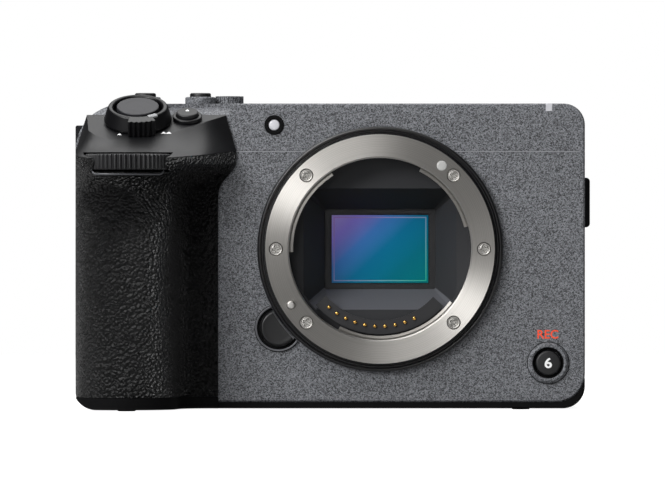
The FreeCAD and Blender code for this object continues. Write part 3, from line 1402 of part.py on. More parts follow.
for name, x, z in rear_button_places:
    cap = rod(rear_button_r, Vector(0, 0, -wall - 0.2), up, wall + 0.2 + rear_button_stand)
    flange = rod(rear_button_r + 0.5, Vector(0, 0, -wall - 0.9), up, 0.8)
    keep(name, placed(cap.fuse(flange).removeSplitter(), rear_frame(x, z)))
    button_hole = rod(rear_button_r + fit_gap, Vector(0, 0, -wall - 1), up, wall + 2)
    rear = rear.cut(placed(button_hole, rear_frame(x, z)))

# Joystick in a gimbal ring, which turns on level pins and carries the stick on upright ones
stick_place = rear_frame(stick_x, stick_height)
pivot_z = -wall - 0.9
ring_half = 0.7
gimbal_pin_r = 0.4
gimbal_outer = stick_bore_r - 1.8
gimbal_inner = gimbal_outer - 1.0
rear = rear.cut(placed(rod(stick_bore_r, Vector(0, 0, -wall - 1), up, wall + 2), stick_place))
gimbal = tube(gimbal_outer, gimbal_inner, Vector(0, 0, pivot_z - ring_half), up, 2 * ring_half)
pin_reach = gimbal_outer + 1.6
across = Vector(1, 0, 0)
upright_dir = Vector(0, 1, 0)
for sign in (-1, 1):
    start = Vector(sign * (gimbal_outer - 0.3), 0, pivot_z)
    gimbal = gimbal.fuse(rod(gimbal_pin_r, start, across * sign, pin_reach - gimbal_outer + 0.3))
    x0, x1 = sorted((sign * (gimbal_outer + 0.3), sign * (stick_bore_r + 2.0)))
    cheek = block(x0, x1, -1.6, 1.6, pivot_z - 1.2, -wall + 0.1)
    cheek = cheek.cut(rod(gimbal_pin_r + run_gap, Vector(sign * gimbal_outer, 0, pivot_z), across * sign,
                          pin_reach - gimbal_outer + 0.2))
    rear = rear.fuse(placed(cheek, stick_place))
gimbal = gimbal.removeSplitter().cut(rod(gimbal_pin_r + run_gap, Vector(0, -10, pivot_z), upright_dir, 20))
keep("stick_gimbal", placed(gimbal, stick_place))
stick = rod(stick_r, Vector(0, 0, stick_cap_low), up, stick_cap_thick)
stick = stick.fuse(rod(1.3, Vector(0, 0, pivot_z - ring_half), up, stick_cap_low - pivot_z + ring_half + 0.2))
stick = stick.fuse(rod(gimbal_pin_r, Vector(0, -gimbal_outer + 0.1, pivot_z), upright_dir,
                       2 * gimbal_outer - 0.2)).removeSplitter()
keep("joystick", placed(stick, stick_place))
keep("rear_cover", rear)
keep("front_cover", front)

# Accessory shoe in its pocket
pocket_half = shoe_slot_w / 2 + shoe_sheet + shoe_side_room
pocket_low = case_top - shoe_pocket_depth
shoe_front = case_back - shoe_length - shoe_stop
floor_pad = block(shoe_x - pocket_half - wall, shoe_x + pocket_half + wall, shoe_front - wall, case_back,
                  pocket_low - wall, case_top).common(covers_whole)
top = top.fuse(floor_pad).cut(block(shoe_x - pocket_half, shoe_x + pocket_half, shoe_front, beyond,
                                    pocket_low, beyond))
outer_half = shoe_slot_w / 2 + shoe_sheet
rail_top = case_top - shoe_sink
lip_low = rail_top - shoe_sheet
floor_top = lip_low - shoe_slot_h
shoe = block(shoe_x - outer_half, shoe_x + outer_half, shoe_front + shoe_stop / 2, case_back - 0.3,
             pocket_low, rail_top)
shoe = shoe.cut(block(shoe_x - shoe_slot_w / 2, shoe_x + shoe_slot_w / 2, shoe_front - 1, beyond,
                      floor_top, lip_low))
shoe = shoe.cut(block(shoe_x - shoe_mouth_w / 2, shoe_x + shoe_mouth_w / 2, shoe_front - 1, beyond,
                      floor_top, beyond))
keep("accessory_shoe", shoe)
keep("top_cover", top)
keep("grip_skin", skin)
keep("grip_frame", core)
keep("fixings", fixings)


os.makedirs("parts", exist_ok=True)
for name, shape in nodes.items():
    shape.exportStep("parts/" + name + ".step")
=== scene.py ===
import bmesh
import bpy
import numpy as np
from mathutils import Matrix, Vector


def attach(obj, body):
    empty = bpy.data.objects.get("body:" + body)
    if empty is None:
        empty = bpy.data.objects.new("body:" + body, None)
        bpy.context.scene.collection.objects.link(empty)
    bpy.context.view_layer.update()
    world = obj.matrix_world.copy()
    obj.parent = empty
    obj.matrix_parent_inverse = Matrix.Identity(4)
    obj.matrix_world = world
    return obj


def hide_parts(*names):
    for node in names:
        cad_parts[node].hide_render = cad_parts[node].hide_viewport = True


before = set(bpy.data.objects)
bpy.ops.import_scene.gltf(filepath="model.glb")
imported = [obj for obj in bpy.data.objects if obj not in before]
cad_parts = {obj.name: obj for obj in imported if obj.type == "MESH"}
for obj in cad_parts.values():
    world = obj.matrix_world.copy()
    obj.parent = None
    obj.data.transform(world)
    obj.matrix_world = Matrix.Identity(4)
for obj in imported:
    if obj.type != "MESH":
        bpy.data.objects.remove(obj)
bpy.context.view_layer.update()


# Painted covers of the case: die-cast magnesium alloy with a powder coat whose fine light and dark specks
# are part of the paint. The front, rear and top covers meet at joints 0.1 mm wide, and a black base cover
# closes them from below.
MM = 0.001
SMOOTH_DEG = 35.0  # edges flatter than this are shaded smoothly
WELD_REACH = 0.002
SPECK_MM = 0.26
POWDER_MM = 0.24


def linear(colour):
    """Colour written as #rrggbb, turned from sRGB to linear."""
    values = np.array([int(colour[i:i + 2], 16) for i in (1, 3, 5)]) / 255.0
    values = np.where(values <= 0.04045, values / 12.92, ((values + 0.055) / 1.055) ** 2.4)
    return (*values, 1.0)


def add(tree, kind, values=None, links=None, into=None, stops=(), **settings):
    """Adds one node: its sockets' values, the links into them, the socket its first output leads into, and
    a ramp's stops. A link from a node is from its first output too."""
    node = tree.nodes.new("ShaderNode" + kind)
    for name, value in settings.items():
        setattr(node, name, value)
    for socket, value in (values or {}).items():
        node.inputs[socket].default_value = value
    for socket, source in (links or {}).items():
        tree.links.new(getattr(source, "outputs", [source])[0], node.inputs[socket])
    if stops:
        ramp = node.color_ramp.elements
        ramp[0].position = stops[0][0]
        ramp[1].position = stops[-1][0]
        for position, _ in stops[1:-1]:
            ramp.new(position)
        for element, (_, colour) in zip(ramp, stops):
            element.color = linear(colour)
    if into:
        tree.links.new(node.outputs[0], into)
    return node


def finish(name, colour, **values):
    """Material with one Principled shader. A value is named as its socket is, with _ for the spaces."""
    material = bpy.data.materials.new(name)
    material.use_nodes = True
    tree = material.node_tree
    shader = tree.nodes["Principled BSDF"]
    shader.inputs["Base Color"].default_value = linear(colour)
    for socket, value in values.items():
        shader.inputs[socket.replace("_", " ")].default_value = value
    material.diffuse_color = linear(colour)
    return material, tree, shader


def speckled_paint():
    """Powder coat: lighter and darker specks a quarter of a millimetre across, and a slight orange peel,
    both from one pattern."""
    material, tree, shader = finish("powder_coated_magnesium", "#5b5c61", Roughness=0.62)
    place = add(tree, "TexCoord").outputs["Object"]
    specks = add(tree, "TexNoise", {"Scale": 1 / (SPECK_MM * MM), "Detail": 2.0, "Roughness": 0.7},
                 {"Vector": place})
    powder = add(tree, "TexVoronoi", {"Scale": 1 / (POWDER_MM * MM)}, {"Vector": place})
    lightness = add(tree, "SeparateColor", links={"Color": powder.outputs["Color"]})
    both = add(tree, "Math", links={0: specks, 1: lightness}, operation="ADD")
    mean = add(tree, "Math", {1: 0.5}, {0: both}, operation="MULTIPLY")
    add(tree, "ValToRGB", None, {"Fac": mean}, shader.inputs["Base Color"],
        stops=((0.27, "#202124"), (0.76, "#828489")))
    add(tree, "Bump", {"Strength": 0.6, "Distance": 0.03 * MM}, {"Height": mean}, shader.inputs["Normal"])
    return material


def weld(piece):
    """Joins the loose triangles of a CAD mesh at their corners."""
    joined = piece.modifiers.new("joined", "WELD")
    joined.merge_threshold = WELD_REACH * MM


def dress(material, *nodes):
    """Gives CAD pieces their material, with the triangles joined and shaded smoothly up to the angle."""
    for node in nodes:
        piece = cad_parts[node]
        piece.data.materials.clear()
        piece.data.materials.append(material)
        piece.data.polygons.foreach_set("use_smooth", np.ones(len(piece.data.polygons), bool))
        weld(piece)
        edges = piece.modifiers.new("edges", "EDGE_SPLIT")
        edges.split_angle = np.radians(SMOOTH_DEG)


case_paint = speckled_paint()
dress(case_paint, "front_cover", "rear_cover", "top_cover")


# Base cover and foot of the grip: black polycarbonate, moulded with a dull fine-grained face. They close
# the case and the grip from below.
def moulded_black(name, colour, roughness, grain_mm, depth_mm=0.01, gloss=0.5, strength=0.5):
    """Moulded plastic: even colour, with the fine spark-eroded texture or the waviness of the mould."""
    material, tree, shader = finish(name, colour, Roughness=roughness, Specular_IOR_Level=gloss)
    place = add(tree, "TexCoord").outputs["Object"]
    grain = add(tree, "TexNoise", {"Scale": 1 / (grain_mm * MM), "Detail": 2.0}, {"Vector": place})
    add(tree, "Bump", {"Strength": strength, "Distance": depth_mm * MM}, {"Height": grain},
        shader.inputs["Normal"])
    return material


satin_black = moulded_black("moulded_polycarbonate_satin", "#101012", 0.46, 0.25)
matte_black = moulded_black("moulded_polycarbonate_matte", "#030304", 0.8, 0.3, 0.02, gloss=0.15)
dress(matte_black, "base_cover", "grip_base")


# Mount bezel: a black anodised aluminium ring round the lens mount, on the front cover. It is turned with a
# raised outer band and a deep groove beside the steel ring, so that thin bright lines run round it.
SIDEWAYS, INWARD, UPWARD = np.eye(3)  # inward is along the optical axis, into the body
AXIS = np.array([0.0, 0.0, 40.35])  # a point on the optical axis, in millimetres
FLANGE_Y = -18.0
COVER_Y = -14.0
GROOVE_FLOOR = -14.5
DOUBLE_REACH = 0.0005
SLIVER_REACH = 0.0002


def rounded(corners, radius, steps=4, closed=False):
    """Profile with each corner replaced by the quadratic curve that has it as its control point, from the
    given distance before it to the same distance after it."""
    corners = np.asarray(corners, float)
    before = np.roll(corners, 1, axis=0)
    after = np.roll(corners, -1, axis=0)
    run_in = np.linalg.norm(corners - before, axis=1)
    run_out = np.linalg.norm(after - corners, axis=1)
    reach = np.minimum(np.minimum(run_in, run_out) * 0.45, radius)[:, None]
    first = corners + (before - corners) / np.maximum(run_in, 1e-9)[:, None] * reach
    last = corners + (after - corners) / np.maximum(run_out, 1e-9)[:, None] * reach
    t = np.linspace(0, 1, steps + 1)[None, :, None]
    curves = first[:, None] * (1 - t) ** 2 + corners[:, None] * 2 * t * (1 - t) + last[:, None] * t ** 2
    if closed:
        return curves.reshape(-1, 2)
    return np.vstack([corners[:1], curves[1:-1].reshape(-1, 2), corners[-1:]])


def grid_faces(rows, columns, wrap_rows=False, wrap_columns=True):
    """Four-sided faces of a grid of points, as rows of vertex numbers."""
    r = np.arange(rows if wrap_rows else rows - 1)
    c = np.arange(columns if wrap_columns else columns - 1)
    r, c = np.meshgrid(r, c, indexing="ij")
    below = (r + 1) % rows
    right = (c + 1) % columns
    return np.stack([r * columns + c, r * columns + right, below * columns + right, below * columns + c],
                    axis=-1).reshape(-1, 4)


def new_object(name, data):
    """Object in the scene that holds a mesh, a curve, a light or a camera."""
    made = bpy.data.objects.new(name, data)
    bpy.context.scene.collection.objects.link(made)
    return made


def mesh_piece(name, grids, material, closed=False, wrap_columns=True, smooth_deg=SMOOTH_DEG):
    """One piece of several grids of points in millimetres. A closed grid's last row joins its first. Doubles
    are merged, holes closed, faces turned outwards, and edges flatter than the angle shaded smoothly."""
    faces = []
    start = 0
    for grid in grids:
        rows, columns = grid.shape[:2]
        faces.append(grid_faces(rows, columns, closed, wrap_columns) + start)
        start += rows * columns
    points = np.vstack([grid.reshape(-1, 3) for grid in grids])
    mesh = bpy.data.meshes.new(name)
    mesh.from_pydata(points * MM, [], np.vstack(faces).tolist())
    work = bmesh.new()
    work.from_mesh(mesh)
    bmesh.ops.remove_doubles(work, verts=work.verts, dist=DOUBLE_REACH * MM)
    bmesh.ops.dissolve_degenerate(work, edges=work.edges, dist=SLIVER_REACH * MM)
    bmesh.ops.holes_fill(work, edges=[edge for edge in work.edges if edge.is_boundary])
    bmesh.ops.recalc_face_normals(work, faces=work.faces)
    work.to_mesh(mesh)
    work.free()
    mesh.materials.append(material)
    mesh.shade_smooth()
    mesh.set_sharp_from_angle(angle=np.radians(smooth_deg))
    return new_object(name, mesh)


def turned_points(profile, origin, axis, turns, wave=None):
    """Surface of revolution: origin + axis * height + radius * (side * cos a + other * sin a), for each
    profile point (radius, height) and each angle a. A wave adds to the radius by angle and profile point."""
    side = np.cross(axis, UPWARD)
    side = side / np.linalg.norm(side) if side.any() else SIDEWAYS
    other = np.cross(axis, side)
    angle = np.linspace(0, 2 * np.pi, turns, endpoint=False)[None, :]
    profile = np.asarray(profile, float)
    radius = profile[:, 0, None] + (0 if wave is None else wave(angle, profile))
    ring = side * np.cos(angle)[..., None] + other * np.sin(angle)[..., None]
    return origin + axis * profile[:, 1, None, None] + ring * radius[..., None]


def turned(name, profile, origin, axis, material, turns, wave=None, closed=False, smooth_deg=SMOOTH_DEG):
    """One turned part as a piece of its own."""
    points = turned_points(profile, origin, axis, turns, wave)
    return mesh_piece(name, [points], material, closed, smooth_deg=smooth_deg)


def stand_for(piece, slot, *nodes, body="camera_body"):
    """The piece is shown in place of CAD nodes, and moves with a body. The slot is not used."""
    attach(piece, body)
    if nodes:
        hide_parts(*nodes)


# anodised aluminium: a thin hard black coat with a satin gleam
black_anodised = finish("black_anodised_aluminium", "#0d0d0f", Roughness=0.3, Specular_IOR_Level=0.6)[0]
bezel_profile = rounded([
    (29.12, -13.95), (29.12, -15.0), (29.5, -15.0), (29.6, GROOVE_FLOOR), (30.1, GROOVE_FLOOR),
    (30.22, -15.85), (30.6, -15.95), (31.05, -15.55), (31.05, -13.95),
], 0.14, closed=True)
bezel = turned("mount_bezel_turned", bezel_profile, AXIS, INWARD, black_anodised, 192, closed=True)
stand_for(bezel, "gloss_black", "mount_bezel")


# Mount ring: stainless steel, face-turned, so that its marks run round the axis and the light falls on it
# in bright and dark fans. Three claws inside it hold the lens, and six screws hold it to the chassis.
TURNING_MARK_MM = 0.16


def turned_steel():
    """The gleam is drawn out across the turning marks, by a tangent that points away from the axis, and the
    marks are fine rings of lighter and darker metal."""
    material, tree, shader = finish("face_turned_stainless_steel", "#c9c6c1", Metallic=1.0, Roughness=0.45,
                                    Anisotropic=0.9)
    place = add(tree, "TexCoord").outputs["Object"]
    centred = add(tree, "VectorMath", {1: tuple(AXIS * MM)}, {0: place}, operation="SUBTRACT")
    flat = add(tree, "VectorMath", {1: (1.0, 0.0, 1.0)}, {0: centred}, operation="MULTIPLY")
    add(tree, "VectorMath", None, {0: flat}, shader.inputs["Tangent"], operation="NORMALIZE")
    radius = add(tree, "VectorMath", links={0: flat}, operation="LENGTH").outputs["Value"]
    marks = add(tree, "TexNoise", {"Scale": 1 / (TURNING_MARK_MM * MM), "Detail": 2.0}, {"W": radius},
                noise_dimensions="1D")
    add(tree, "ValToRGB", None, {"Fac": marks}, shader.inputs["Base Color"],
        stops=((0.3, "#aeaba6"), (0.7, "#c3c0bc")))
    return material


dress(turned_steel(), "mount_ring")


# Mount screws: six small steel screws with low heads and cross recesses, each sunk in a recess of the ring.
# The heads have a rounded rim and a fine turned line inside it.
SCREW_CIRCLE = 26.3
SCREW_ANGLES = (0, 45, 135, 180, 225, 315)  # places round the ring, in degrees
SCREW_TURNS = (20, 65, 38, 12, 70, 50)  # how far each cross is turned, in degrees
HEAD_R = 1.66
HEAD_Y = FLANGE_Y + 0.36
HEAD_FOOT_Y = FLANGE_Y + 1.2
RIM_WIDE = 0.22
RIM_DROP = 0.24
LINE_R = 1.18
LINE_DEEP = 0.14
CROSS_HALF = 0.3
CROSS_REACH = 0.95
CROSS_DEEP = 0.7


def machined_steel():
    """Steel with a slightly uneven gleam, in patches half a millimetre across."""
    material, tree, shader = finish("machined_steel", "#c2c0bc", Metallic=1.0, Roughness=0.4)
    place = add(tree, "TexCoord").outputs["Object"]
    patches = add(tree, "TexNoise", {"Scale": 1 / (0.5 * MM), "Detail": 3.0}, {"Vector": place})
    add(tree, "MapRange", {"From Min": 0.3, "From Max": 0.7, "To Min": 0.32, "To Max": 0.5},
        {"Value": patches}, shader.inputs["Roughness"])
    return material


def around_axis(radius, angle_deg, y):
    """Place at a radius and an angle round the optical axis."""
    angle = np.radians(angle_deg)
    return AXIS + np.array([radius * np.cos(angle), y, radius * np.sin(angle)])


def screw_head(centre, turn_deg):
    """Head as a polar grid: flat, less the rounded rim, the turned line and the cross-shaped recess, whose
    depth falls off at the edges of its arms."""
    radii = np.concatenate([np.linspace(0, 1.0, 22), np.linspace(1.08, HEAD_R, 14)])
    angles = np.linspace(0, 2 * np.pi, 72, endpoint=False)
    radius, angle = np.meshgrid(radii, angles, indexing="ij")
    across_x = np.abs(radius * np.cos(angle - np.radians(turn_deg)))
    across_z = np.abs(radius * np.sin(angle - np.radians(turn_deg)))
    beside = np.clip((CROSS_HALF - np.minimum(across_x, across_z)) / 0.1, 0, 1)
    within = np.clip((CROSS_REACH - np.maximum(across_x, across_z)) / 0.14, 0, 1)
    rim = np.clip((radius - HEAD_R + RIM_WIDE) / RIM_WIDE, 0, 1)
    line = np.exp(-((radius - LINE_R) / 0.08) ** 2)
    y = HEAD_Y + CROSS_DEEP * beside * within + RIM_DROP * rim ** 2 + LINE_DEEP * line
    points = np.stack([centre[0] + radius * np.cos(angle), y, centre[2] + radius * np.sin(angle)], axis=-1)
    skirt = points[-1:].copy()
    skirt[..., 1] = HEAD_FOOT_Y
    return np.vstack([points, skirt])


bright_steel = machined_steel()
heads = [screw_head(around_axis(SCREW_CIRCLE, angle, 0), turn)
         for angle, turn in zip(SCREW_ANGLES, SCREW_TURNS)]
screws = mesh_piece("mount_screw_heads", heads, bright_steel, smooth_deg=30.0)
stand_for(screws, "plain_steel", "mount_screws")


# Index dot: a drop of white lacquer in a shallow recess of the ring. Lens lock pin: a ground steel pin with
# a domed end, which a spring pushes out of the ring.
white_lacquer = finish("white_lacquer", "#aeaeac", Roughness=0.35)[0]
dot_profile = [(0, 0.3), (1.26, 0.3), (1.26, 0.0), (1.1, -0.05), (0.7, -0.09), (0.0, -0.1)]
dot = turned("index_dot_lacquer", dot_profile, around_axis(26.2, 53.5, FLANGE_Y), INWARD, white_lacquer, 48)
stand_for(dot, "index_white", "index_dot")

PIN_STAND = 1.3
pin_at = around_axis(26.6, 212.2, FLANGE_Y - PIN_STAND)
pin_profile = rounded([(0, 8.6), (1.05, 8.6), (1.05, 0.28), (0.8, 0.0), (0.0, 0.0)], 0.25)
pin = turned("lock_pin_ground", pin_profile, pin_at, INWARD, bright_steel, 48)
stand_for(pin, "plain_steel", "lock_pin", body="lock_pin")


# Contacts: ten gold-plated pins with rounded tips, in a black block that is moulded of glass-filled nylon
# and lies round the lower part of the throat.
CONTACT_COUNT = 10
CONTACT_CIRCLE = 19.6
CONTACT_FIRST = 228.75  # degrees round the optical axis
CONTACT_STEP = 7.5
CONTACT_Y = -13.6

gold_plate = finish("gold_plate", "#e0b060", Metallic=1.0, Roughness=0.25)[0]
tip_profile = rounded([(0, 1.65), (0.44, 1.65), (0.44, 0.16), (0.26, 0.0), (0.0, 0.0)], 0.16)
angles = CONTACT_FIRST + CONTACT_STEP * np.arange(CONTACT_COUNT)
tips = [turned_points(tip_profile, around_axis(CONTACT_CIRCLE, angle, CONTACT_Y), INWARD, 20)
        for angle in angles]
contact_tips = mesh_piece("contact_tips", tips, gold_plate)
stand_for(contact_tips, "gold_contact", "contact_pins", body="contact_pins")
dress(moulded_black("glass_filled_nylon_black", "#1b1b1e", 0.5, 0.3), "contact_block")


# Light baffle: a moulded black funnel that narrows from the mount to the sensor. Its walls are coloured by
# the way
# they face, as painted shade and light: black where they face down, dark grey on the sides, grey on the lower
# ramp.
def baffle_painted_by_facing():
    """Painted shade and light by the way a wall faces: black where it faces down, darker grey on the sides,
    grey facing up.
    """
    material, tree, shader = finish("baffle_black_painted_shade", "#1a1a1c", Roughness=0.8)
    facing = add(tree, "SeparateXYZ", links={"Vector": add(tree, "NewGeometry").outputs["Normal"]})
    upward = add(tree, "MapRange", {"From Min": -1.0, "From Max": 1.0}, {"Value": facing.outputs["Z"]})
    tone = add(tree, "ValToRGB", None, {"Fac": upward}, shader.inputs["Base Color"],
               stops=((0.0, "#0b0b0c"), (0.45, "#232427"), (0.6, "#4b4c51")))
    tone.color_ramp.interpolation = "CONSTANT"
    return material


dress(baffle_painted_by_facing(), "light_baffle")


# Sensor: silicon die under a clear filter, with a fine bright line a little inside its edge. Its colour
# shifts from bright violet at the upper left to teal: partly the coat's own tint and partly a painted
# reflection of the lamps in it. It is bonded into a black package on the moving carriage.
CHIP_HALF_W = 12.3
CHIP_HALF_H = 8.65
CHIP_SLANT = 0.75  # share of the height in the way the colour shifts
CHIP_LINE_INSET = 0.6
CHIP_LINE_HALF = 0.13


def coated_silicon():
    """The colour goes by x / half width - 0.75 z / half height, and the line is where the chip's nearer edge
    is 0.6 mm away."""
    material, tree, shader = finish("coated_silicon", "#2a6a90", Roughness=0.3, Specular_IOR_Level=0.1)
    place = add(tree, "TexCoord").outputs["Object"]
    centred = add(tree, "VectorMath", {1: tuple(AXIS * MM)}, {0: place}, operation="SUBTRACT")
    way = (1 / (CHIP_HALF_W * MM), 0.0, -CHIP_SLANT / (CHIP_HALF_H * MM))
    slant = add(tree, "VectorMath", {1: way}, {0: centred}, operation="DOT_PRODUCT").outputs["Value"]
    share = add(tree, "MapRange", {"From Min": -1 - CHIP_SLANT, "From Max": 1 + CHIP_SLANT}, {"Value": slant})
    # painted reflection as well as tint: the bright violet at the upper left and the shift to teal are fixed
    # in the colour
    tint_and_painted_reflection = add(tree, "ValToRGB", None, {"Fac": share}, stops=(
        (0.0, "#c4b0ff"), (0.16, "#a494ff"), (0.34, "#4886d4"), (0.52, "#0876a0"), (0.75, "#007084"),
        (1.0, "#00767a")))
    sides = add(tree, "VectorMath", None, {0: centred}, operation="ABSOLUTE")
    inside = add(tree, "VectorMath", {0: (CHIP_HALF_W * MM, 0.0, CHIP_HALF_H * MM)}, {1: sides},
                 operation="SUBTRACT")
    inset = add(tree, "SeparateXYZ", None, {"Vector": inside}).outputs
    nearer = add(tree, "Math", None, {0: inset["X"], 1: inset["Z"]}, operation="MINIMUM")
    line = add(tree, "Math", {1: CHIP_LINE_INSET * MM, 2: CHIP_LINE_HALF * MM}, {0: nearer},
               operation="COMPARE")
    line_tone = add(tree, "ValToRGB", links={"Fac": share}, stops=((0.0, "#c08cf0"), (1.0, "#18b08c")))
    coloured = add(tree, "Mix", links={0: line, 6: tint_and_painted_reflection, 7: line_tone}, data_type="RGBA")
    tree.links.new(coloured.outputs[2], shader.inputs["Base Color"])
    return material


dress(coated_silicon(), "sensor_die")
dress(finish("clear_filter_glass", "#000000", Roughness=0.02, Alpha=0.02)[0], "sensor_glass")
dress(moulded_black("sensor_package_black", "#17171a", 0.5, 0.3), "sensor_carriage")


# Grip: grained leather-like covering, moulded in one piece over the grip's frame. It swells over the
# battery, draws in under the shoulder, and runs flat on the front cover up to the mount.
CASE_LEFT = -77.1
SIDE_X = CASE_LEFT + 25.2  # the grip's inner side
EDGE_X = CASE_LEFT + 36.1  # the covering's edge on the front cover
SEAM_REAR = 65.2
SEAM_FRONT = 63.1
SEAM_RUN = 24.4
SKIN_FOOT = 3.1
SKIN_THICK = 0.75
FOOT_R = 6.0
HALF_JOINT = 0.05
SAMPLES = 220
ROWS_PER_MM = 4
SEAM_ROW = -8
SIDE_IN = 0.45
SIDE_RUN = 11.0
# height, share of the flare under the shoulder, reach of the nose in front of the cover
grip_rows = np.array([
    (0.0, 0.0, 24.5), (3.0, 0.0, 24.8), (13.0, 0.0, 26.4), (27.5, 0.0, 27.9), (40.0, 0.0, 27.6),
    (48.0, 0.0, 25.6), (53.7, 0.02, 22.9), (56.3, 0.14, 23.6), (58.9, 0.56, 26.4), (61.5, 0.97, 27.5),
    (66.5, 1.0, 26.5),
])
# points of a level section from the covering's edge round the nose to the outer side: place across, place
# along, and 1 where the latter is measured from the nose instead of from the cover
outer_points = [
    (CASE_LEFT + 12.7, 0.0, 1), (CASE_LEFT + 7.4, 1.1, 1), (CASE_LEFT + 2.6, 5.3, 1),
    (CASE_LEFT + 0.45, -11.0, 0),
]
plain_section = np.array([
    (EDGE_X, -0.8, 0), (SIDE_X + 5.8, -1.3, 0), (SIDE_X + 2.6, -4.5, 0), (SIDE_X, -15.9, 0),
    (SIDE_X - 3.7, 3.2, 1),
] + outer_points)
flared_section = np.array([
    (EDGE_X + 4.6, -0.8, 0), (SIDE_X + 12.7, -5.0, 0), (SIDE_X + 9.5, -11.0, 0), (SIDE_X + 4.2, 9.0, 1),
    (SIDE_X - 1.9, 3.4, 1),
] + outer_points)


def smooth_through(knots, points, at):
    """Natural cubic spline: the curve through every point, with no bend at its two ends, whose second
    derivatives come from one set of linear equations."""
    points = np.asarray(points, float)
    flat = points.reshape(len(knots), -1)
    step = np.diff(knots)
    system = np.eye(len(knots))
    inner = np.arange(1, len(knots) - 1)
    system[inner, inner - 1] = step[:-1]
    system[inner, inner] = 2 * (step[:-1] + step[1:])
    system[inner, inner + 1] = step[1:]
    slope = np.diff(flat, axis=0) / step[:, None]
    right = np.zeros_like(flat)
    right[1:-1] = 6 * np.diff(slope, axis=0)
    second = np.linalg.solve(system, right)
    i = np.clip(np.searchsorted(knots, at, side="right") - 1, 0, len(knots) - 2)
    h = step[i][:, None]
    a = ((knots[i + 1] - at) / step[i])[:, None]
    b = 1 - a
    bend = ((a ** 3 - a) * second[i] + (b ** 3 - b) * second[i + 1]) * h * h / 6
    return (a * flat[i] + b * flat[i + 1] + bend).reshape((len(at),) + points.shape[1:])


def grip_sections(z):
    """Nine points round the grip at each height: the plain and the flared section mixed by the share there,
    with the nose at its reach."""
    rows = smooth_through(grip_rows[:, 0], grip_rows[:, 1:], z)
    share = np.clip(rows[:, 0], 0.0, 1.0)[:, None, None]
    section = plain_section + (flared_section - plain_section) * share
    along = COVER_Y + section[..., 1] - section[..., 2] * rows[:, 1:]
    return np.stack([section[..., 0], along], axis=-1)


def round_section(nodes):
    """Smooth curve through the section's points, by their mean distance along it, for all rows at once."""
    runs = np.linalg.norm(np.diff(nodes, axis=1), axis=2).mean(axis=0)
    knots = np.concatenate([[0.0], np.cumsum(runs)])
    at = np.linspace(0, knots[-1], SAMPLES)
    return np.swapaxes(smooth_through(knots, np.swapaxes(nodes, 0, 1), at), 0, 1)


heights = np.linspace(0.0, grip_rows[-1, 0], 268)  # about four rows to a millimetre
grip_curves = round_section(grip_sections(heights))


def grip_surface(z):
    """Points of the grip at heights z (rows by samples), read between the worked-out level curves. The outer
    side is rounded in at the foot by a quarter circle."""
    place = np.clip(z / heights[-1], 0, 1) * (len(heights) - 1)
    low = np.clip(place.astype(int), 0, len(heights) - 2)
    part = (place - low)[..., None]
    column = np.broadcast_to(np.arange(z.shape[1]), z.shape)
    point = grip_curves[low, column] * (1 - part) + grip_curves[low + 1, column] * part
    corner = np.clip(FOOT_R - z, 0, FOOT_R)
    least = CASE_LEFT + FOOT_R - np.sqrt(np.clip(FOOT_R ** 2 - corner ** 2, 0, None))
    return np.stack([np.maximum(point[..., 0], least), point[..., 1], z], axis=-1)


def seam_height(y):
    """Height of the seam between the covering and the shoulder, which falls towards the nose."""
    return SEAM_REAR - (SEAM_REAR - SEAM_FRONT) * (COVER_Y - y) / SEAM_RUN


def leather():
    """Grained leather: rounded cells 0.85 mm across with creases between them, and fine wrinkles half as
    wide. The gleam on top of the cells comes from the bump and gloss and is also painted, with painted shade
    in the creases."""
    material, tree, shader = finish("grained_leather_black", "#0b0b0c", Roughness=0.27)
    place = add(tree, "TexCoord").outputs["Object"]
    drift = add(tree, "TexNoise", {"Scale": 1 / (1.6 * MM), "Detail": 2.0}, {"Vector": place})
    moved = add(tree, "VectorMath", {1: (0.4 * MM,) * 3}, {0: drift.outputs["Color"], 2: place},
                operation="MULTIPLY_ADD")
    cells = add(tree, "TexVoronoi", {"Scale": 1 / (0.85 * MM), "Smoothness": 0.2}, {"Vector": moved},
                feature="SMOOTH_F1").outputs["Distance"]
    wrinkles = add(tree, "TexNoise", {"Scale": 1 / (0.45 * MM), "Detail": 3.0}, {"Vector": place})
    height = add(tree, "Math", {1: -1.8}, {0: cells, 2: wrinkles}, operation="MULTIPLY_ADD")
    add(tree, "Bump", {"Strength": 1.0, "Distance": 1.3 * MM}, {"Height": height}, shader.inputs["Normal"])
    # painted highlight and shade: the colour is lighter on the tops of the cells and darker in the creases
    add(tree, "ValToRGB", None, {"Fac": cells}, shader.inputs["Base Color"],
        stops=((0.15, "#0a0a0b"), (0.75, "#040405")))
    return material


def bake(piece):
    """Applies the piece's modifiers to its mesh."""
    graph = bpy.context.evaluated_depsgraph_get()
    made = bpy.data.meshes.new_from_object(piece.evaluated_get(graph), depsgraph=graph)
    piece.modifiers.clear()
    piece.data = made


def open_surface(name, points_mm, material, thickness_mm):
    """Grid of points as a sheet, thickened inwards to a closed shell."""
    mesh = bpy.data.meshes.new(name)
    faces = grid_faces(points_mm.shape[0], points_mm.shape[1], wrap_columns=False)[:, ::-1]
    mesh.from_pydata(points_mm.reshape(-1, 3) * MM, [], faces.tolist())
    mesh.materials.append(material)
    piece = new_object(name, mesh)
    shell = piece.modifiers.new("shell", "SOLIDIFY")
    shell.thickness = thickness_mm * MM
    shell.offset = -1.0
    return piece


def cut_with(piece, tool):
    """Takes the tool's closed shape away from the piece, and removes the tool."""
    cut = piece.modifiers.new("cut", "BOOLEAN")
    cut.object = tool
    cut.operation = "DIFFERENCE"
    cut.solver = "EXACT"
    bake(piece)
    bpy.data.objects.remove(tool)
    piece.data.shade_smooth()
    piece.data.set_sharp_from_angle(angle=np.radians(SMOOTH_DEG))


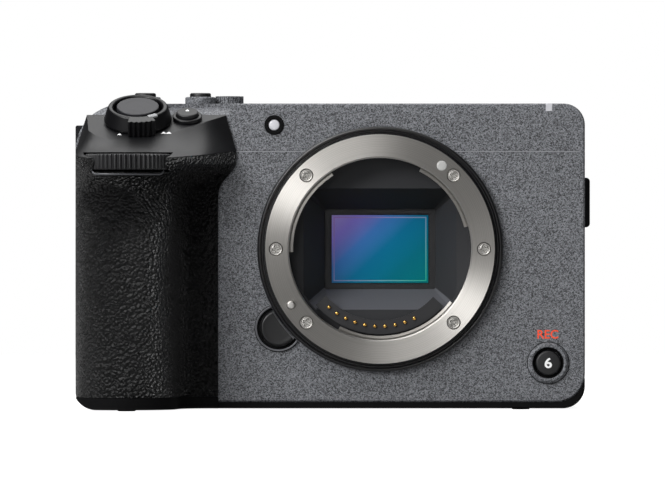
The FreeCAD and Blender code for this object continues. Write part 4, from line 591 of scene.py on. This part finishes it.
DIAL_AT = np.array([-63.1, -31.76, 62.15])
slot_profile = [(0, 59.62), (11.35, 59.62), (11.35, 64.6), (0, 64.6)]


def slot_tool(material):
    """Disc that cuts the front dial's slot."""
    return turned("slot_tool", slot_profile, (DIAL_AT[0], DIAL_AT[1], 0), UPWARD, material, 160)


seam_y = grip_curves[SEAM_ROW, :, 1]
rise = np.linspace(0, 1, 190)[:, None]
skin = grip_surface(SKIN_FOOT + (seam_height(seam_y) - HALF_JOINT - SKIN_FOOT) * rise)
side_end = skin[:, -1:]
side = side_end + np.linspace(0, 1, 9)[None, 1:, None] * np.array([-SIDE_IN, SIDE_RUN, 0.0])
tucked_edge = skin[:, :1] + np.array([0.0, 0.8, 0.0])
skin = np.concatenate([tucked_edge, skin, side], axis=1)
leather_black = leather()
covering = open_surface("grip_covering", skin, leather_black, SKIN_THICK)
cut_with(covering, slot_tool(leather_black))
stand_for(covering, "leather_grip", "grip_skin")


# Lip of the dial's slot: a rounded bead, moulded along the lower side of the slot and turned up at its two
# ends. Its grey colour is a painted highlight, lighter than the black round it, for the light along its top.
LIP_HALF = 9.1
LIP_CORNER = 1.4
LIP_Z = 59.1
LIP_R = 0.3
LIP_STAND = 0.12


def bead(name, path, radius, material, sides=12):
    """Tube round a path: each ring of points stands across the path's direction at that point."""
    along = np.gradient(path, axis=0)
    along /= np.linalg.norm(along, axis=1)[:, None]
    side = np.cross(along, UPWARD)
    side /= np.linalg.norm(side, axis=1)[:, None]
    other = np.cross(side, along)
    angle = np.linspace(0, 2 * np.pi, sides, endpoint=False)[None, :, None]
    steps_in = np.minimum(np.arange(len(path)), np.arange(len(path))[::-1])
    taper = np.clip(steps_in / 3.0, 0.05, 1.0)[:, None, None]
    points = path[:, None] + taper * radius * (side[:, None] * np.cos(angle) + other[:, None] * np.sin(angle))
    return mesh_piece(name, [points], material, smooth_deg=60.0)


lip_u = np.linspace(-1, 1, 121)
lip_over = np.clip((np.abs(lip_u) * LIP_HALF - (LIP_HALF - LIP_CORNER)) / LIP_CORNER, 0, 1)
lip_rise = LIP_CORNER * (1 - np.sqrt(1 - lip_over ** 2))
lip_x = DIAL_AT[0] + lip_u * LIP_HALF
lip_rows = [grip_curves[int(z * ROWS_PER_MM), ::-1] for z in (LIP_Z, LIP_Z + LIP_CORNER)]
low_y, high_y = [np.interp(lip_x, row[:, 0], row[:, 1]) for row in lip_rows]
lip_y = low_y + (high_y - low_y) * lip_rise / LIP_CORNER - LIP_STAND
# painted highlight: the lip is coloured light grey so that it shows as a bright line
lip_painted_highlight = moulded_black("lip_grey_painted_highlight", "#4c4d51", 0.3, 0.3)
lip = bead("dial_slot_lip", np.column_stack([lip_x, lip_y, LIP_Z + lip_rise]), LIP_R, lip_painted_highlight)
stand_for(lip, "satin_black")


# Shoulder: satin black cover over the top of the grip, moulded with a leather-like texture. Its wall rises
# from the covering's seam to a sloping control deck, with a softly rounded edge between them.
DECK_REAR_Y = -13.0
DECK_REAR_Z = 74.8
DECK_TILT = np.radians(25.0)
DECK_UP = np.array([0.0, -np.sin(DECK_TILT), np.cos(DECK_TILT)])
DECK_ALONG = np.array([0.0, np.cos(DECK_TILT), np.sin(DECK_TILT)])
SHOULDER_THICK = 1.4
WALL_SWELL = 0.55
# points round the deck's rim from the mount side to the outer side: distance from the case's left side and
# in front of the cover
deck_rim = np.array([
    (38.1, 0.4), (32.8, 4.1), (28.0, 7.6), (24.4, 10.3), (20.8, 12.7), (16.8, 14.0), (12.0, 14.2),
    (6.9, 12.7), (3.6, 8.8),
])


def deck_height(y):
    """Height of the sloping deck at a place along the optical axis."""
    return DECK_REAR_Z + (y - DECK_REAR_Y) * np.tan(DECK_TILT)


def with_side(curve, lean, height):
    """Adds the straight run along the grip's outer side back to the front cover."""
    end = curve[-1]
    reach = COVER_Y - end[1]
    runs = np.linspace(0, 1, 9)[1:, None]
    side = end[None] + runs * np.array([-lean * reach, reach, 0.0])
    side[:, 2] = height(side[:, 1])
    return np.vstack([curve, side])


low_curve = grip_surface((seam_height(seam_y) + HALF_JOINT)[None])[0]
low_curve = with_side(low_curve, SIDE_IN / SIDE_RUN, lambda y: seam_height(y) + HALF_JOINT)
rim_nodes = np.column_stack([CASE_LEFT + deck_rim[:, 0], COVER_Y - deck_rim[:, 1]])
rim_curve = round_section(rim_nodes[None])[0]
high_curve = with_side(np.column_stack([rim_curve, deck_height(rim_curve[:, 1])]), 0.08, deck_height)
rise = np.linspace(0, 1, 40)[:, None, None]
wall = low_curve * (1 - rise) + high_curve * rise
tangent = np.gradient(low_curve[:, :2] * 0.5 + high_curve[:, :2] * 0.5, axis=0)
outward = np.column_stack([tangent[:, 1], -tangent[:, 0]]) / np.linalg.norm(tangent, axis=1)[:, None]
swell = np.clip(np.sin(np.linspace(0, np.pi, len(outward))), 0, 1)[:, None] ** 0.5
wall[..., :2] += outward * WALL_SWELL * swell * np.sin(np.pi * rise ** 1.3)
rear_line = high_curve.copy()
rear_line[:, 1] = COVER_Y - HALF_JOINT
rear_line[:, 2] = deck_height(rear_line[:, 1])
deck_share = np.linspace(0, 1, 16)[1:, None, None]
deck = high_curve * (1 - deck_share) + rear_line * deck_share
textured_black = moulded_black("moulded_polycarbonate_textured", "#0e0e10", 0.44, 0.3, 0.05, gloss=0.4)
shoulder = open_surface("grip_shoulder_cover", np.concatenate([wall, deck]), textured_black, SHOULDER_THICK)
edge = shoulder.modifiers.new("edge", "BEVEL")
edge.width = 0.45 * MM
edge.segments = 3
edge.limit_method = "ANGLE"
edge.angle_limit = np.radians(50)
cut_with(shoulder, slot_tool(textured_black))
stand_for(shoulder, "satin_black", "grip_shoulder")
dress(matte_black, "grip_frame")


# Front dial: a moulded black wheel with 54 rounded ribs, half out of its slot under the shoulder. It turns
# on an upright axle.
DIAL_RIBS = 54
DIAL_RIB_DEEP = 0.5


def dial_ribs(angle, profile):
    """Takes the rounded furrows between the ribs away from the points near the profile's largest radius."""
    outer = np.where(profile[:, 0] > profile[:, 0].max() - 1.2, DIAL_RIB_DEEP, 0.0)[:, None]
    return -outer * (0.5 - 0.5 * np.cos(angle * DIAL_RIBS)) ** 1.6


dial_profile = rounded([(1.25, -2.0), (10.7, -2.0), (10.98, -1.7), (10.98, 1.7), (10.7, 2.0), (1.25, 2.0)],
                       0.3, closed=True)
front_dial = turned("front_dial_ribbed", dial_profile, DIAL_AT, UPWARD, satin_black, 960, dial_ribs,
                    closed=True, smooth_deg=50.0)
stand_for(front_dial, "satin_black", "front_dial", body="front_dial")


# Zoom lever: a tapered ring round the release button with a ribbed thumb tab, moulded in glossy black. It
# turns on the deck, and a raised pointer beside the tab is painted pale.
LEVER_X = -61.15
LEVER_RUN = 4.8  # how far down the deck it stands from the rear line
TAB_R = 10.1
TAB_MEASURE_R = 9.9  # where its width is measured
TAB_SHIFT = 1.2
TAB_HALF = 3.6
TAB_RIB_PITCH = 1.25
TAB_RIB_DEEP = 0.4


def on_deck(x, run, lift):
    """Place on the sloping deck: across, forward from its rear line, and above its face."""
    y = DECK_REAR_Y - run
    return np.array([x, y, deck_height(y)]) + DECK_UP * lift


def lever_tab(angle, profile):
    """Moves the outer wall out to a flat tab with ribs: by how far it stands from the cone at that angle."""
    across_tab = TAB_MEASURE_R * np.sin(angle - np.pi / 2) - TAB_SHIFT
    inside = np.clip((TAB_HALF + 0.25 - np.abs(across_tab)) / 0.5, 0, 1)
    inside = inside * inside * (3 - 2 * inside)
    rib = TAB_RIB_DEEP * (0.5 + 0.5 * np.cos(2 * np.pi * across_tab / TAB_RIB_PITCH)) ** 2
    front = np.cos(angle - np.pi / 2) > 0
    outer = np.clip((profile[:, 0] - 6.75) / 0.35, 0, 1)[:, None]
    return np.where(front, inside * outer * (TAB_R - rib - profile[:, 0, None]), 0.0)


# polished in the mould, with waves 3 mm across
gloss_black = moulded_black("polished_abs_black", "#0a0a0c", 0.34, 3.0, 0.02, gloss=0.3, strength=0.3)
lever_at = on_deck(LEVER_X, LEVER_RUN, 0.3)
lever_profile = rounded([(6.2, 0.0), (8.5, 0.0), (8.6, 0.5), (7.5, 3.75), (7.15, 4.0), (6.6, 4.0),
                         (6.2, 3.6)], 0.3, steps=6, closed=True)
lever = turned("zoom_lever_ring", lever_profile, lever_at, DECK_UP, gloss_black, 900, lever_tab, closed=True)
stand_for(lever, "satin_black", "zoom_lever", body="zoom_lever")

# the pointer is a short stretch of a ring: a profile round it, at angles down the deck from the right
pointer_angle = np.radians(57.0) + np.linspace(-0.17, 0.17, 13)[None, :, None]
pointer_profile = np.array([(6.5, 3.7), (6.5, 4.1), (7.3, 4.1), (7.62, 3.9), (7.62, 3.5), (6.5, 3.5)])
pointer_way = np.cos(pointer_angle) * SIDEWAYS - np.sin(pointer_angle) * DECK_ALONG
pointer_points = (lever_at + pointer_way * pointer_profile[:, None, :1]
                  + DECK_UP * pointer_profile[:, None, 1:])
pale_lacquer = finish("pale_grey_lacquer", "#8d8e90", Roughness=0.45)[0]
pointer = mesh_piece("zoom_lever_pointer", [pointer_points], pale_lacquer, closed=True, wrap_columns=False)
stand_for(pointer, "index_white", body="zoom_lever")


# Release button: a broad disc with a slightly hollowed top, turned from aluminium and hard-coated dark grey.
# It stands in the zoom lever's ring and is pressed square to the deck.
button_grey = finish("hard_coated_aluminium_grey", "#222226", Roughness=0.5, Metallic=0.2)[0]
disc_profile = rounded([(0, -6.0), (1.25, -6.0), (1.25, -1.6), (5.35, -1.6), (5.35, -0.1), (5.1, 0.05),
                        (4.6, 0.06), (3.0, -0.08), (0.0, -0.16)], 0.2)
disc_at = on_deck(LEVER_X, LEVER_RUN, 4.3)
shutter = turned("shutter_button_disc", disc_profile, disc_at, DECK_UP, button_grey, 128)
stand_for(shutter, "gloss_black", "shutter_button", body="shutter_button")


# Collared buttons: three small round buttons of moulded black plastic, each in a raised ring, one on the deck
# and two on the top. The rings on the top are painted as the case is.
TOP_Z = 77.2
GRIP_BUTTON_X = -48.7


def cap_profile(radius, height, stem):
    """Button on a stem, with a rounded rim and a barely domed face."""
    return rounded([(0, -stem), (1.25, -stem), (1.25, 0.6), (radius, 0.6), (radius, height - 0.25),
                    (radius - 0.3, height), (0.0, height + 0.05)], 0.3)


def collar_profile(inner, outer, height):
    """Ring with its outer rim drawn in."""
    return rounded([(inner, 0.02), (outer, 0.02), (outer, height - 0.2), (outer - 0.35, height),
                    (inner, height)], 0.18, closed=True)


grip_button_at = on_deck(GRIP_BUTTON_X, 3.4, 0.0)
grip_button = turned("grip_button_cap", cap_profile(2.8, 2.1, 3.5), grip_button_at, DECK_UP, satin_black, 64)
stand_for(grip_button, "satin_black", "grip_button", body="grip_button")
grip_collar = turned("grip_button_collar", collar_profile(2.88, 3.75, 1.1), grip_button_at, DECK_UP,
                     gloss_black, 64, closed=True)
stand_for(grip_collar, "satin_black")
collars = []
for name, x in (("left_top_button", -60.1), ("right_top_button", -46.0)):
    place = (x, 10.0, TOP_Z)
    cap = turned(name + "_cap", cap_profile(2.7, 3.1, 3.6), place, UPWARD, satin_black, 64)
    stand_for(cap, "satin_black", name, body=name)
    collars.append(turned_points(collar_profile(2.78, 3.9, 2.1), place, UPWARD, 64))
top_collars = mesh_piece("button_collars", collars, case_paint, closed=True)
stand_for(top_collars, "satin_black", "control_collars")


# Marks on the deck beside the lever, and on the button there: small triangles, screen-printed in white.
# The layer is drawn 0.03 mm thick.
PRINT_THICK = 0.03


def prism(name, outline, origin, side, up, depth, material, bevel=0.0):
    """Flat outline (across, height) at origin + side * a + up * b, carried square to its plane by the depth.
    Its rims are drawn in by the bevel."""
    outline = np.asarray(outline, float)
    along = np.cross(side, up) * np.sign(depth)
    centre = (outline.min(axis=0) + outline.max(axis=0)) / 2
    half = (outline.max(axis=0) - outline.min(axis=0)) / 2
    small = centre + (outline - centre) * (half - bevel) / half
    rows = [(small, 0.0), (outline, bevel), (outline, abs(depth) - bevel), (small, abs(depth))]
    grid = np.stack([origin + side * shape[:, :1] + up * shape[:, 1:] + along * level
                     for shape, level in (rows if bevel else [rows[1], rows[3]])])
    return mesh_piece(name, [grid], material)


white_print = finish("screen_print_white", "#f2f2f2", Roughness=0.5)[0]
triangle = np.array([(-0.55, -0.45), (0.55, -0.45), (0.0, 0.6)])
for name, x, run, lift, size, body in (
        ("mark_small", -65.6, 12.0, 0.01, 1.0, "camera_body"),
        ("mark_large_left", -54.5, 11.1, 0.01, 1.25, "camera_body"),
        ("mark_large_right", -53.2, 11.1, 0.01, 1.25, "camera_body"),
        ("button_mark", GRIP_BUTTON_X, 2.9, 2.14, 1.0, "grip_button")):
    mark = prism(name, triangle * size, on_deck(x, run, lift), SIDEWAYS, DECK_ALONG, PRINT_THICK, white_print)
    stand_for(mark, "index_white", body=body)


# Lens release button: a big moulded push button beside the mount, in a black well with a thin grey lip. All
# three are cut away where the mount's bezel passes. The lamp's ring is a moulding like the well.
RELEASE_CIRCLE_R = 32.56
RELEASE_ANGLE = 217.9
RELEASE_AT = around_axis(RELEASE_CIRCLE_R, RELEASE_ANGLE, COVER_Y)
CLEAR_OF_BEZEL_R = 31.27  # the well and its lip end here
CAP_CLEAR_R = 31.6  # the cap ends here, clear of the well's wall
LAMP_AT = np.array([-26.8, COVER_Y, 71.75])


def outside_bezel(circle_r):
    """Wave that draws a turned wall in so that it stays outside a circle round the optical axis: the
    distance to the circle along each direction, by the cosine rule."""
    def wave(angle, profile):
        toward = np.cos(-angle - np.radians(RELEASE_ANGLE + 180.0))
        along = RELEASE_CIRCLE_R * toward
        beyond = RELEASE_CIRCLE_R ** 2 - circle_r ** 2
        reach = along - np.sqrt(np.clip(along ** 2 - beyond, 0, None))
        reach = np.where((toward > 0) & (along ** 2 > beyond), reach, 99.0)
        return np.minimum(profile[:, 0, None], reach) - profile[:, 0, None]
    return wave


release_black = moulded_black("moulded_release_button_black", "#0c0c0e", 0.36, 0.2, 0.006)
release_profile = rounded([(0, 0.05), (4.6, 0.05), (4.6, -1.05), (4.15, -1.5), (3.3, -1.42), (0, -1.36)],
                          0.25)
release = turned("release_button_cap", release_profile, RELEASE_AT, INWARD, release_black, 192,
                 outside_bezel(CAP_CLEAR_R))
stand_for(release, "satin_black", "release_button", body="release_button")

well_profile = rounded([(4.72, 2.0), (4.72, -0.15), (5.4, -0.15), (5.4, -0.3), (6.08, -0.3), (6.08, -0.02),
                        (5.9, -0.02), (5.9, 2.0)], 0.03, closed=True)
lamp_profile = rounded([(1.42, 1.2), (1.42, -0.1), (1.6, -0.35), (2.35, -0.35), (2.5, -0.2), (2.5, 1.2)],
                       0.08, closed=True)
trim = mesh_piece("release_rim_and_lamp_ring", [
    turned_points(well_profile, RELEASE_AT, INWARD, 192, outside_bezel(CLEAR_OF_BEZEL_R)),
    turned_points(lamp_profile, LAMP_AT, INWARD, 192),
], matte_black, closed=True)
stand_for(trim, "satin_black", "trim_rings")

rim_grey = moulded_black("moulded_rim_grey", "#5e5f63", 0.34, 0.2, 0.006)
lip_profile = rounded([(5.42, -0.25), (5.48, -0.72), (5.8, -0.76), (5.92, -0.6), (5.92, -0.25)], 0.08,
                      closed=True)
release_lip = turned("release_rim_lip", lip_profile, RELEASE_AT, INWARD, rim_grey, 192,
                     outside_bezel(CLEAR_OF_BEZEL_R), closed=True)
stand_for(release_lip, "satin_black")


# Record button: a moulded black cap in a dark well, in a turned bezel with the finish of the case and a fine
# joint round it. The figure is printed on the cap in white, and the word on the case in red.
RECORD_AT = np.array([42.6, COVER_Y, 11.5])
RECORD_FACE = -0.68  # the cap's face, from the cover
FIGURE_SIZE = (1.85, 2.65)
WORD_SIZE = (5.3, 2.2)
WORD_AT = np.array([42.5, COVER_Y - 0.01, 18.75])

bezel_ring = rounded([(3.95, 0.0), (3.95, -0.75), (4.15, -1.0), (4.6, -1.0), (5.2, -0.4), (5.2, 0.0)], 0.12,
                     closed=True)
ring = turned("record_bezel_turned", bezel_ring, RECORD_AT, INWARD, case_paint, 128, closed=True)
stand_for(ring, "case_paint", "record_bezel")
for name, profile, turns in (
        ("record_button_well", [(3.24, 0.5), (3.98, 0.1), (3.98, 2.0), (3.24, 2.0)], 96),
        ("record_bezel_joint", [(5.19, 0.3), (5.19, -0.02), (5.38, -0.02), (5.38, 0.3)], 128)):
    part = turned(name, profile, RECORD_AT, INWARD, matte_black, turns, closed=True)
    stand_for(part, "base_black")
record_profile = rounded([(0, 2.0), (3.2, 2.0), (3.15, -0.35), (2.8, -0.6), (0, RECORD_FACE)], 0.2)
record = turned("record_button_cap", record_profile, RECORD_AT, INWARD, satin_black, 96)
stand_for(record, "satin_black", "record_button", body="record_button")


def printed_text(name, text, centre, size_mm, material, bold):
    """Text in a plain font as a thin mesh on the front, made bolder and scaled to a width and height."""
    curve = bpy.data.curves.new(name, "FONT")
    curve.body = text
    curve.extrude = 0.02
    curve.offset = bold
    holder = new_object(name + "_text", curve)
    graph = bpy.context.evaluated_depsgraph_get()
    mesh = bpy.data.meshes.new_from_object(holder.evaluated_get(graph), depsgraph=graph)
    bpy.data.objects.remove(holder)
    points = np.array([vertex.co for vertex in mesh.vertices])
    low, high = points.min(axis=0), points.max(axis=0)
    flat = (points - (low + high) / 2) / (high - low)
    placed = flat[:, [0, 2, 1]] * np.array([size_mm[0], PRINT_THICK, size_mm[1]]) + centre
    mesh.vertices.foreach_set("co", (placed * MM).ravel())
    mesh.materials.clear()
    mesh.materials.append(material)
    mesh.update()
    return new_object(name, mesh)


red_print = finish("screen_print_red", "#f04c26", Roughness=0.5)[0]
figure_at = RECORD_AT + np.array([0.0, RECORD_FACE, 0.0])
figure = printed_text("record_figure", "6", figure_at, FIGURE_SIZE, white_print, 0.025)
stand_for(figure, "index_white", body="record_button")
word = printed_text("record_word", "REC", WORD_AT, WORD_SIZE, red_print, 0.014)
stand_for(word, "index_white")


# Edge of the front cover along its seam with the top cover: a pale strip on it is a painted highlight, for
# the light that its rounded edge catches from above, so that it shows as a fine pale line on both sides of
# the mount.
EDGE_Z = 65.03
EDGE_HALF = 0.06
EDGE_STAND = 0.03
# pale colour here is a painted highlight of the cover's rounded edge
seam_painted_highlight = finish("seam_edge_painted_highlight", "#9fa0a4", Roughness=0.5)[0]
for name, start, end in (("seam_edge_grip_side", -38.0, -18.9), ("seam_edge_far_side", 18.9, 51.0)):
    strip = [(start, -EDGE_HALF), (end, -EDGE_HALF), (end, EDGE_HALF), (start, EDGE_HALF)]
    seam_edge = prism(name, strip, (0.0, COVER_Y, EDGE_Z), SIDEWAYS, UPWARD, -EDGE_STAND, seam_painted_highlight)
    stand_for(seam_edge, "case_paint")


# Lamp window and tally window: clear moulded light guides over a diffuser, pale when they are not lit. The
# first is domed and sits in its ring, the second is a small upright bar at the top of the front.
TALLY_Z = 76.25
TALLY_DEEP = 1.6
light_guide = finish("clear_light_guide", "#c6c6cb", Roughness=0.25, Coat_Weight=0.6)[0]
lens_profile = rounded([(0, 1.0), (1.38, 1.0), (1.38, 0.02), (1.1, -0.12), (0, -0.22)], 0.12)
stand_for(turned("lamp_lens", lens_profile, LAMP_AT, INWARD, light_guide, 64), "pale_window")
tally_outline = rounded([(41.95, -1.0), (43.65, -1.0), (43.65, 1.0), (41.95, 1.0)], 0.25, closed=True)
tally = prism("tally_window", tally_outline, (0.0, COVER_Y - 0.02, TALLY_Z), SIDEWAYS, UPWARD, -TALLY_DEEP,
              light_guide, bevel=0.06)
stand_for(tally, "pale_window", "signal_windows")


# Inside: a milled aluminium chassis carries the sensor's stabiliser, the green main board and the fan. Steel
# sockets, card slots and threaded bushes are fixed to it and to the covers. All keep their CAD shape.
bare_aluminium = finish("machined_aluminium", "#a9abae", Roughness=0.36, Metallic=1.0)[0]
board_green = finish("circuit_board_green", "#123c26", Roughness=0.45)[0]
zinc_steel = finish("zinc_plated_steel", "#b4b4b6", Roughness=0.32, Metallic=1.0)[0]
dress(bare_aluminium, "chassis", "stabiliser_base", "stabiliser_frame")
dress(zinc_steel, "connectors", "thread_bushes")
dress(satin_black, "fan_housing", "fan_rotor")
dress(board_green, "main_board")


# Battery and doors: the battery has a plain grey plastic case, its door, the door's latch and the card door
# are moulded black, and the doors over the sockets are soft black rubber. Each door turns on a steel pin.
battery_grey = finish("battery_case_grey", "#3b3d40", Roughness=0.5)[0]
rubber_black = moulded_black("moulded_rubber_black", "#161617", 0.7, 0.2)
dress(battery_grey, "battery")
dress(satin_black, "battery_door", "battery_latch", "card_door")
dress(rubber_black, "audio_door", "data_door")


# Screen: a black moulded shell on a blackened steel arm, with a flat black glass bonded over the panel. The
# strap lugs are of the same steel, and the accessory shoe on the top is zinc-plated.
black_steel = finish("blackened_steel", "#2a2a2c", Roughness=0.4, Metallic=1.0)[0]
glass_black = finish("screen_glass_black", "#050506", Roughness=0.06)[0]
dress(black_steel, "screen_arm", "strap_lugs")
dress(satin_black, "screen_shell")
dress(glass_black, "screen_glass")
dress(zinc_steel, "accessory_shoe")


# Rear controls and power switch: black moulded dials and buttons, a rubber-tipped joystick on a steel gimbal,
# and a switch on the top that is painted as the case is.
dress(satin_black, "rear_dial", "control_wheel", "wheel_button", "assist_button", "playback_button",
      "delete_button")
dress(rubber_black, "joystick")
dress(zinc_steel, "stick_gimbal")
dress(case_paint, "power_switch")


# Screws and pins of the case: blackened steel, kept as they were cut, but for the heads of the two outer
# base screws, which are ground flush with the base's rounded corner.
CORNER_R = 7.25
CORNER_X = 44.7
CORNER_Z = 7.2
WASTE_X = 60.0
WASTE_Z = -2.0
fixings_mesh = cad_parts["fixings"].data.copy()
fixings_mesh.materials.clear()
fixings_mesh.materials.append(black_steel)
ground = new_object("case_screws_ground", fixings_mesh)
weld(ground)
bake(ground)
turn = np.radians(np.linspace(0, -90, 25))
corner_arc = np.column_stack([CORNER_X + CORNER_R * np.cos(turn), CORNER_Z + CORNER_R * np.sin(turn)])
waste_outline = np.vstack([corner_arc, [(CORNER_X, WASTE_Z), (WASTE_X, WASTE_Z), (WASTE_X, CORNER_Z)]])
waste = prism("corner_waste", waste_outline, (0.0, -20.0, 0.0), SIDEWAYS, UPWARD, -70.0, black_steel)
cut_with(ground, waste)
stand_for(ground, "black_steel", "fixings")


# Floor and light: a pale table in a white surround. Two broad softboxes hang above, one behind and one in
# front, a key stands at the upper left, a small one close to the camera, and a weak fill at the right.
TABLE_CORNERS = ((-2, -2), (2, -2), (2, 1), (-2, 1))  # this and the lights' sizes and places are in metres
TABLE_Z = -0.0003
TABLE_GLOW = 0.93
SURROUND_LIGHT = 0.04
BODY_MIDDLE = (0.0, 0.0, 0.04)
for name, place, size, power in (
        ("front_top_softbox", (-0.16, -0.2, 0.42), (0.45, 0.22), 1.55),
        ("back_top_softbox", (0.0, 0.27, 0.72), (0.9, 0.7), 4.9),
        ("key_softbox", (-0.86, -0.95, 0.6), (0.45, 0.45), 13.2),
        ("front_softbox", (-0.36, -1.5, 0.34), (0.2, 0.2), 2.2),
        ("right_fill_softbox", (0.95, -1.05, 0.1), (0.5, 0.3), 0.55)):
    softbox = new_object(name, bpy.data.lights.new(name, "AREA"))
    softbox.data.shape = "RECTANGLE"
    softbox.data.size, softbox.data.size_y = size
    softbox.data.energy = power
    softbox.location = place
    softbox.rotation_euler = (Vector(BODY_MIDDLE) - Vector(place)).to_track_quat("-Z", "Y").to_euler()
# the camera sees the table and the surround nearly white, while the object stands on a grey one: the first
# output of a light path says whether a ray comes from the camera
white_table, table_tree, table_shader = finish("white_table", "#a0a0a0", Roughness=0.9,
                                               Emission_Color=(1.0, 1.0, 1.0, 1.0))
add(table_tree, "Math", {1: TABLE_GLOW}, {0: add(table_tree, "LightPath")},
    table_shader.inputs["Emission Strength"], operation="MULTIPLY")
table_mesh = bpy.data.meshes.new("table")
table_mesh.from_pydata([(x, y, TABLE_Z) for x, y in TABLE_CORNERS], [], [(0, 1, 2, 3)])
table_mesh.materials.append(white_table)
table = new_object("table", table_mesh)

world = bpy.data.worlds.new("white_surround")
bpy.context.scene.world = world
world.use_nodes = True
surround = world.node_tree.nodes["Background"]
surround.inputs["Color"].default_value = (1.0, 1.0, 1.0, 1.0)
add(world.node_tree, "MapRange", {"To Min": SURROUND_LIGHT}, {"Value": add(world.node_tree, "LightPath")},
    surround.inputs["Strength"])


# Camera: straight from the front, two metres away, level with the lens axis. The shift moves the mount to its
# place in the photograph's frame.
CAMERA_AWAY = 2.0
camera = new_object("camera", bpy.data.cameras.new("camera"))
camera.location = (0.0, -CAMERA_AWAY, AXIS[2] * MM)
camera.rotation_euler = (np.pi / 2, 0.0, 0.0)
camera.data.sensor_width = 36.0
camera.data.lens = 424.6
camera.data.shift_x = -0.0714
camera.data.shift_y = 0.003
bpy.context.scene.camera = camera
bpy.context.scene.view_settings.view_transform = "Standard"
